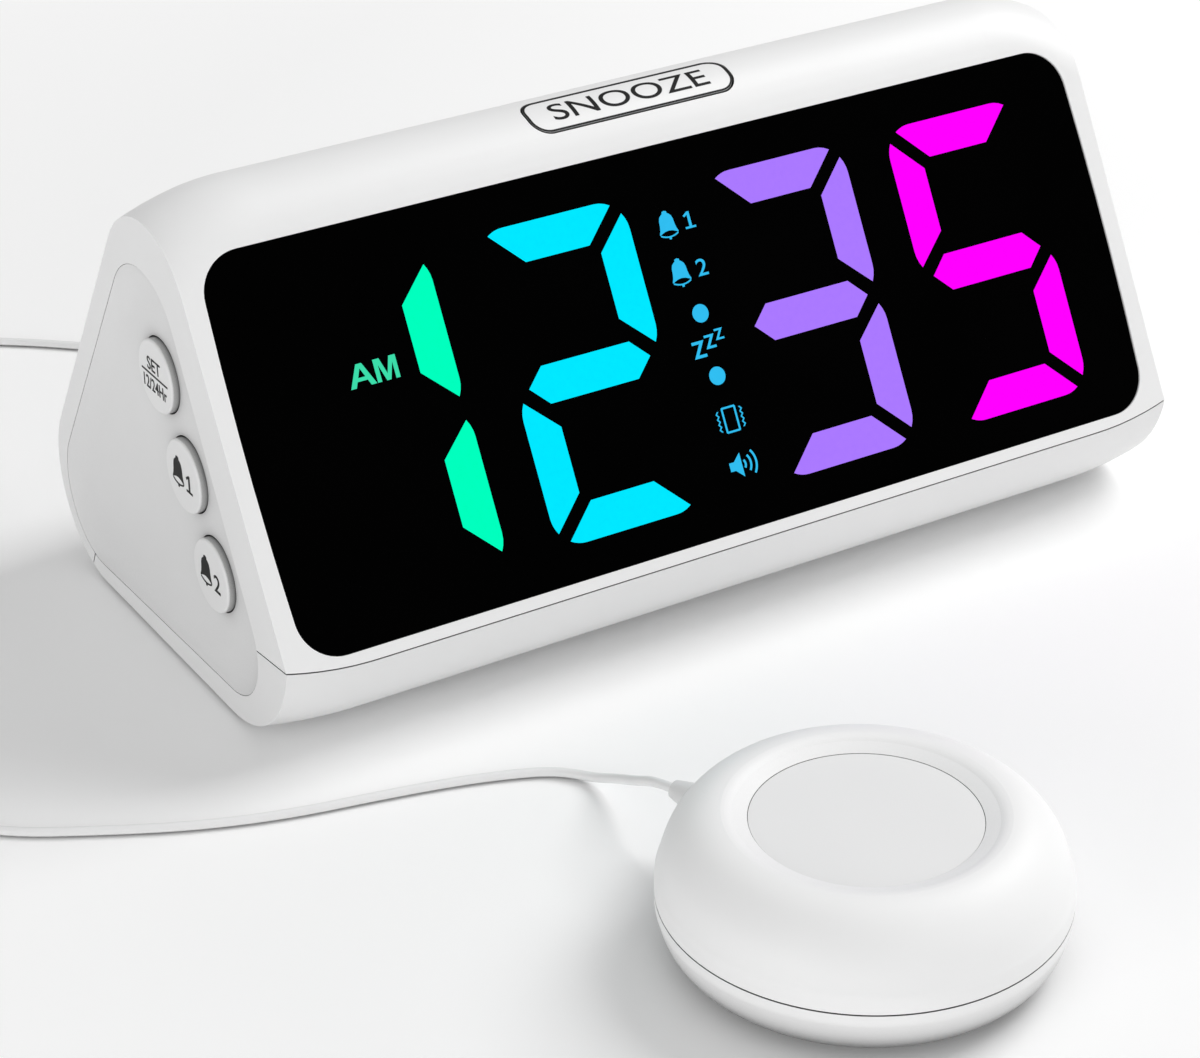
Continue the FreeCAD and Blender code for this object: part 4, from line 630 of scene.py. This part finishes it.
def bell(form, middle, rim, size):
    """A bell's side view: its body, the lip under its dark mouth and the clapper."""
    right = [(middle + x * size, rim + y * size) for x, y in bell_half]
    left = [(middle - x * size, rim + y * size) for x, y in reversed(bell_half[1:-1])]
    outline(form, right + left)
    inner = (bell_lip_radius - bell_lip_half) * size
    outer = (bell_lip_radius + bell_lip_half) * size
    lip_middle = (middle, rim + (bell_lip_radius - bell_lip_below) * size)
    ring_part(form, lip_middle, inner, outer, -math.pi / 2 - bell_lip_turn, 2 * bell_lip_turn)
    outline(form, [(middle + x * size, rim + y * size) for x, y in bell_clapper])


bell_rims = (("1", 23.6), ("2", 14.3))
bell_middle = -1.25
bell_number_left = 2.5
bell_number_right = 4.8
sleep_boxes = ((-3.0, -0.2, -0.75, 2.5), (0.0, 2.3, 0.56, 3.2), (2.5, 4.4, 1.75, 3.9))
marks = bmesh.new()
for number, rim in bell_rims:
    low = rim + crease_to_middle
    bell(marks, bell_middle, rim=low, size=1.0)
    numeral(marks, number, bell_number_left, bell_number_right, low, low + numeral_one_height)
for left, right, low, high in sleep_boxes:
    letters(marks, "z", left, right, low + crease_to_middle, high + crease_to_middle)
put_mark("alarm_marks", marks, icon_blue, window_place, "clock")


def rounded_frame(form, half_length, half_width, corner, corner_steps, line):
    """A flat line of this width round a rectangle with rounded corners."""
    bmesh.ops.create_grid(form, x_segments=1, y_segments=1, size=1.0)
    bmesh.ops.scale(form, verts=form.verts[:], vec=(half_length, half_width, 1.0))
    bmesh.ops.bevel(
        form,
        geom=form.verts[:],
        offset=corner,
        segments=corner_steps,
        profile=0.5,
        affect="VERTICES",
        material=-1,
    )
    inset = bmesh.ops.inset_region(form, faces=form.faces[:], thickness=line, use_boundary=True)
    middle_faces = [face for face in form.faces if face not in inset["faces"]]
    bmesh.ops.delete(form, geom=middle_faces, context="FACES")


buzzer_across = 1.1
buzzer_up = -13.45 + crease_to_middle
buzz_reach = 2.25
buzz_swing = 0.42
buzz_step = 0.5
buzz_line = 0.32
buzz_half_steps = 4
buzzer = bmesh.new()
rounded_frame(buzzer, half_length=1.6, half_width=2.55, corner=0.3, corner_steps=3, line=0.38)
bmesh.ops.translate(buzzer, verts=buzzer.verts[:], vec=(buzzer_across, buzzer_up, 0.0))
for side in (-1, 1):
    zigzag = []
    for step in range(-buzz_half_steps, buzz_half_steps + 1):
        across = buzzer_across + side * (buzz_reach + buzz_swing * (step % 2))
        zigzag.append(buzzer.verts.new((across, buzzer_up + step * buzz_step, 0.0)))
    strokes = [buzzer.edges.new(pair) for pair in zip(zigzag, zigzag[1:])]
    drawn = bmesh.ops.extrude_edge_only(buzzer, edges=strokes)
    moved = [item for item in drawn["geom"] if isinstance(item, bmesh.types.BMVert)]
    bmesh.ops.translate(buzzer, verts=moved, vec=(side * buzz_line, 0.0, 0.0))
put_mark("buzzer_mark", buzzer, icon_blue, window_place, "clock")

horn = ((-1.8, -23.2), (-0.7, -23.2), (0.9, -24.7), (0.9, -20.0), (-0.7, -21.5), (-1.8, -21.5))
wave_middle = (0.5, -22.35 + crease_to_middle)
wave_reaches = (1.0, 2.2, 3.4)
wave_line = 0.42
wave_half_turn = math.radians(38.0)
loudspeaker = bmesh.new()
outline(loudspeaker, [(x, y + crease_to_middle) for x, y in horn])
for reach in wave_reaches:
    outer = reach + wave_line
    ring_part(loudspeaker, wave_middle, reach, outer, -wave_half_turn, 2 * wave_half_turn)
put_mark("loudspeaker_mark", loudspeaker, icon_blue, window_place, "clock")

letter_a_half = (
    (0.0, 0.0), (0.21, 0.0), (0.3, 0.25), (0.5, 0.25), (0.5, 0.41), (0.36, 0.41), (0.5, 0.8),
    (0.5, 1.0), (0.39, 1.0),
)
letter_m = (
    (0.0, 0.0), (0.18, 0.0), (0.18, 0.74), (0.41, 0.0), (0.59, 0.0), (0.82, 0.74), (0.82, 0.0),
    (1.0, 0.0), (1.0, 1.0), (0.72, 1.0), (0.5, 0.28), (0.28, 1.0), (0.0, 1.0),
)
letter_low = 10.9 + crease_to_middle
letter_height = 4.3
letter_a_other_half = [(1.0 - x, y) for x, y in reversed(letter_a_half)]
morning_letters = (
    (-73.1, 5.3, letter_a_half),
    (-73.1, 5.3, letter_a_other_half),
    (-67.6, 4.6, letter_m),
)
morning = bmesh.new()
for left, width, points in morning_letters:
    outline(morning, [(left + x * width, letter_low + y * letter_height) for x, y in points])
bmesh.ops.remove_doubles(morning, verts=morning.verts[:], dist=0.001)
mark_green = lit("mark_green", (0.045, 0.72, 0.4))
put_mark("morning_mark", morning, mark_green, window_place, "clock")


# Lit bars' films
# Over each light guide the window's mask has a clear film in the bar's colour, and its mitred
# tips give the digit its crisp outline. One film for each digit lies flush in the window.
digit_wide = 32.2
digit_tall = 60.3
digit_foot = 9.2
bar_upright = (
    (0.95, 57.39), (0.43, 56.37), (0.11, 55.28), (0.0, 54.1), (0.0, 35.7), (0.11, 34.52),
    (0.43, 33.43), (0.95, 32.4), (7.25, 38.4), (7.25, 51.1),
)
bar_across = (
    (2.9, 59.35), (3.93, 59.87), (5.02, 60.19), (6.2, 60.3), (26.0, 60.3), (27.18, 60.19),
    (28.27, 59.87), (29.3, 59.35), (23.0, 53.05), (9.2, 53.05),
)
bar_middle = (
    (2.9, 30.15), (6.525, 33.775), (25.675, 33.775), (29.3, 30.15), (25.675, 26.525),
    (6.525, 26.525),
)


def bar_film(form, left, points, right=False, low=False):
    """One bar's film in a digit, turned over to the right or the low half where asked."""
    placed = [(digit_wide - x if right else x, digit_tall - y if low else y) for x, y in points]
    outline(form, [(left + x, digit_foot + y) for x, y in placed])


films = (
    ("digit_1_film", -83.9, bar_green, "bar_green", False, "right", "right"),
    ("digit_2_film", -41.45, bar_cyan, "bar_cyan", True, "right", "left"),
    ("digit_3_film", 8.6, bar_violet, "bar_violet", True, "right", "right"),
    ("digit_4_film", 51.0, bar_magenta, "bar_magenta", True, "left", "right"),
)
for name, left, material, slot, crossed, upper_side, lower_side in films:
    film = bmesh.new()
    bar_film(film, left, bar_upright, right=upper_side == "right")
    bar_film(film, left, bar_upright, right=lower_side == "right", low=True)
    if crossed:
        bar_film(film, left, bar_across)
        bar_film(film, left, bar_across, low=True)
        bar_film(film, left, bar_middle)
    put_mark(name, film, material, window_place, "clock")


# Lettering on the buttons and the snooze key
# Plain function words and bells pad-printed in black on the button faces, a few hundredths
# of a millimetre thick. The black line round the snooze key's face is painted shade of its gap.
ink, tree, shader = new_material("printing_ink")
place = tree.nodes.new("ShaderNodeTexCoord")
pores = tree.nodes.new("ShaderNodeTexNoise")
pores.inputs["Scale"].default_value = 3800.0
tree.links.new(place.outputs["Object"], pores.inputs["Vector"])
cover = tree.nodes.new("ShaderNodeMapRange")
cover.inputs["To Min"].default_value = 0.003
cover.inputs["To Max"].default_value = 0.009
tree.links.new(pores.outputs["Fac"], cover.inputs["Value"])
tree.links.new(cover.outputs["Result"], shader.inputs["Base Color"])
sheen = tree.nodes.new("ShaderNodeMapRange")
sheen.inputs["To Min"].default_value = 0.4
sheen.inputs["To Max"].default_value = 0.6
tree.links.new(pores.outputs["Fac"], sheen.inputs["Value"])
tree.links.new(sheen.outputs["Result"], shader.inputs["Roughness"])
shader.inputs["Specular IOR Level"].default_value = 0.15

button_face = 0.0995
button_middles = {
    "set": (0.06397, 0.0591),
    "alarm_1": (0.0547, 0.0426),
    "alarm_2": (0.0454, 0.0261),
}


def button_place(side, middle):
    """The plane of a button's face at the left (-1) or right (1) end, upright on it."""
    return Matrix(
        (
            (0.0, 0.0, side, side * button_face),
            (side, 0.0, 0.0, middle[0]),
            (0.0, 1.0, 0.0, middle[1]),
            (0.0, 0.0, 0.0, 1.0),
        )
    )


def stroke(form, left, right, low, high):
    """A straight printed stroke that fills this box."""
    outline(form, [(left, low), (right, low), (right, high), (left, high)])


words = bmesh.new()
letters(words, "SET", left=-2.9, right=2.7, low=0.75, high=3.4, boldness=0.003)
letters(words, "12/24Hr", left=-4.9, right=4.9, low=-3.4, high=-0.85, boldness=0.002)
stroke(words, left=-5.5, right=5.5, low=-0.17, high=0.17)
place = button_place(-1, button_middles["set"])
put_mark("set_words", words, ink, place, "set_key")
for number in ("1", "2"):
    name = "alarm_" + number
    words = bmesh.new()
    bell(words, middle=-1.9, rim=-1.6, size=1.15)
    numeral(words, number, left=1.5, right=4.0, low=-2.3, high=1.3)
    place = button_place(-1, button_middles[name])
    put_mark(name + "_words", words, ink, place, name + "_key")

key_radius = 0.0135
key_middle = Vector((0.0, 0.0634, 0.0815))
key_lean = math.radians(17.0)
key_out = Vector((0.0, -math.sin(key_lean), math.cos(key_lean)))
key_side = Vector((0.0, math.cos(key_lean), math.sin(key_lean)))
key_cuts = 9
key_cut_step = 0.5
words = bmesh.new()
# The line round the key's edge is painted shade, standing for the dark gap round the key.
rounded_frame(words, half_length=22.32, half_width=4.51, corner=3.5, corner_steps=8, line=0.38)
letters(words, "SNOOZE", left=-17.3, right=17.3, low=-2.35, high=2.35)
for step in range(-key_cuts, key_cuts + 1):
    bmesh.ops.bisect_plane(
        words,
        geom=words.verts[:] + words.edges[:] + words.faces[:],
        plane_co=(0.0, step * key_cut_step, 0.0),
        plane_no=(0.0, 1.0, 0.0),
    )
snooze_word = put_mark("snooze_word", words, ink, Matrix.Identity(4), "snooze")
for vertex in snooze_word.data.vertices:
    across, along, rise = vertex.co
    turn = along / key_radius
    reach = key_radius + rise
    spot = key_side * (math.sin(turn) * reach) + key_out * (math.cos(turn) * reach)
    vertex.co = key_middle + spot + Vector((across, 0.0, 0.0))

right_marks = (("plus", "set"), ("minus", "alarm_1"), ("light", "alarm_2"))
arm = 2.6
half_line = 0.35
sun_radius = 1.1
sun_rays = 8
sun_ray_inner = 1.8
sun_ray_outer = 3.0
sun_ray_half_turn = 0.09
for name, level in right_marks:
    words = bmesh.new()
    if name == "light":
        bmesh.ops.create_circle(words, cap_ends=True, segments=24, radius=sun_radius)
        for sun_ray in range(sun_rays):
            start = sun_ray * 2 * math.pi / sun_rays - sun_ray_half_turn
            ring_part(
                words, (0.0, 0.0), sun_ray_inner, sun_ray_outer, start, 2 * sun_ray_half_turn
            )
    else:
        stroke(words, -arm, arm, -half_line, half_line)
        if name == "plus":
            stroke(words, -half_line, half_line, half_line, arm)
            stroke(words, -half_line, half_line, -arm, -half_line)
    place = button_place(1, button_middles[level])
    put_mark(name + "_mark", words, ink, place, name + "_key")


# Cord jacket, plug and gland
# The jacket is soft white vinyl, faintly matte. The plug's grip is the same vinyl round a
# nickel-plated pin, and the gland at the puck is a pale grey rubber bush.
jacket = moulded("cord_jacket", (0.86, 0.86, 0.86), gloss=0.48, grain=0.12, grain_size=2600.0)
cord_curve.materials.append(jacket)
grip = moulded("plug_grip", (0.8, 0.8, 0.8), gloss=0.5, grain=0.15, grain_size=2600.0)
finish_nodes(grip, "cord_plug")
gland_rubber = moulded(
    "gland_rubber", (0.78, 0.78, 0.78), gloss=0.6, grain=0.25, grain_size=2600.0
)
finish_nodes(gland_rubber, "cord_gland")


# Shaker puck
# Two satin white shells that meet in a fine seam and are screwed together from below, with a
# slightly greyer disc let into the dish on top.
# Painted shade darkens the shells wherever other surfaces lie within 10 mm, as in the dish and
# near the table, and the disc lightly at its edge.
puck_white = moulded(
    "puck_white", (0.94, 0.94, 0.94), gloss=0.52, grain=0.03, reach=0.01, start=0.1, end=1.0
)
disc_white = moulded(
    "disc_white", (0.88, 0.88, 0.88), gloss=0.55, grain=0.14, grain_size=3200.0, painted_shade_level=0.6
)
finish_nodes(puck_white, "puck_top_shell", "puck_bottom_shell")
finish_nodes(disc_white, "puck_disc")


# Metal parts
# The screws, the cell, the motor's can and shaft and the plug's pin are plated steel with
# drawn marks. The loudspeaker's magnet is darker steel and the motor's weight is brass.
def metal(name, colour, gloss):
    """A plated or drawn metal of this colour, with fine streaks in its gloss."""
    material, tree, shader = new_material(name)
    place = tree.nodes.new("ShaderNodeTexCoord")
    stretch = tree.nodes.new("ShaderNodeMapping")
    stretch.inputs["Scale"].default_value = (1.0, 1.0, 6.0)
    tree.links.new(place.outputs["Object"], stretch.inputs["Vector"])
    streak = tree.nodes.new("ShaderNodeTexNoise")
    streak.inputs["Scale"].default_value = 700.0
    streak.inputs["Detail"].default_value = 3.0
    tree.links.new(stretch.outputs["Vector"], streak.inputs["Vector"])
    level = tree.nodes.new("ShaderNodeMapRange")
    level.inputs["To Min"].default_value = 0.86
    level.inputs["To Max"].default_value = 1.0
    tree.links.new(streak.outputs["Fac"], level.inputs["Value"])
    tone = tree.nodes.new("ShaderNodeHueSaturation")
    tone.inputs["Color"].default_value = (*colour, 1.0)
    tree.links.new(level.outputs["Result"], tone.inputs["Value"])
    tree.links.new(tone.outputs["Color"], shader.inputs["Base Color"])
    dull = tree.nodes.new("ShaderNodeMapRange")
    dull.inputs["To Min"].default_value = gloss - 0.08
    dull.inputs["To Max"].default_value = gloss + 0.08
    tree.links.new(streak.outputs["Fac"], dull.inputs["Value"])
    tree.links.new(dull.outputs["Result"], shader.inputs["Roughness"])
    shader.inputs["Metallic"].default_value = 1.0
    return material


plated = metal("plated_steel", (0.62, 0.63, 0.65), gloss=0.3)
finish_nodes(
    plated,
    "base_screws",
    "battery_screw",
    "board_screws",
    "clamp_screws",
    "display_screws",
    "puck_screws",
    "side_screws_left",
    "side_screws_right",
    "snooze_screws",
    "speaker_screws",
    "backup_cell",
    "motor_shaft",
    "puck_motor",
    "plug_pin",
)
magnet_steel = metal("magnet_steel", (0.3, 0.3, 0.31), gloss=0.4)
finish_nodes(magnet_steel, "speaker_magnet")
brass = metal("brass", (0.78, 0.58, 0.28), gloss=0.32)
finish_nodes(brass, "eccentric_weight")


# Boards, switches and hidden plastic
# Green glass-fibre boards with black chips and switches, a white reflector behind the
# display and a black paper cone in a black frame behind the grille.
board_green = moulded("board_green", (0.02, 0.13, 0.06), gloss=0.4, grain=0.1, cloud=0.2)
finish_nodes(
    board_green,
    "display_board",
    "main_board",
    "side_board_left",
    "side_board_right",
    "snooze_board",
)
dark_plastic = moulded("dark_plastic", (0.02, 0.02, 0.021), gloss=0.5, grain=0.15, cloud=0.2)
finish_nodes(
    dark_plastic,
    "main_chips",
    "side_switches_left",
    "side_switches_right",
    "snooze_switch",
    "speaker_frame",
    "dc_jack",
    "shaker_jack",
    "motor_clamp",
)
reflector_white = moulded("reflector_white", (0.8, 0.8, 0.8), gloss=0.6, grain=0.1)
finish_nodes(reflector_white, "led_reflector")
cone_paper = moulded(
    "cone_paper", (0.03, 0.03, 0.03), gloss=0.85, grain=0.6, cloud=0.3, grain_size=1400.0
)
finish_nodes(cone_paper, "speaker_cone")


# Feet and the puck's pad
# Dark rubber discs stuck in the tray's shallow seats, and a ring of the same rubber under
# the puck, which keep both from creeping on a table.
rubber = moulded(
    "foot_rubber", (0.1, 0.1, 0.105), gloss=0.75, grain=0.4, cloud=0.15, grain_size=1800.0
)
finish_nodes(rubber, "base_feet", "puck_pad")


bpy.context.view_layer.update()
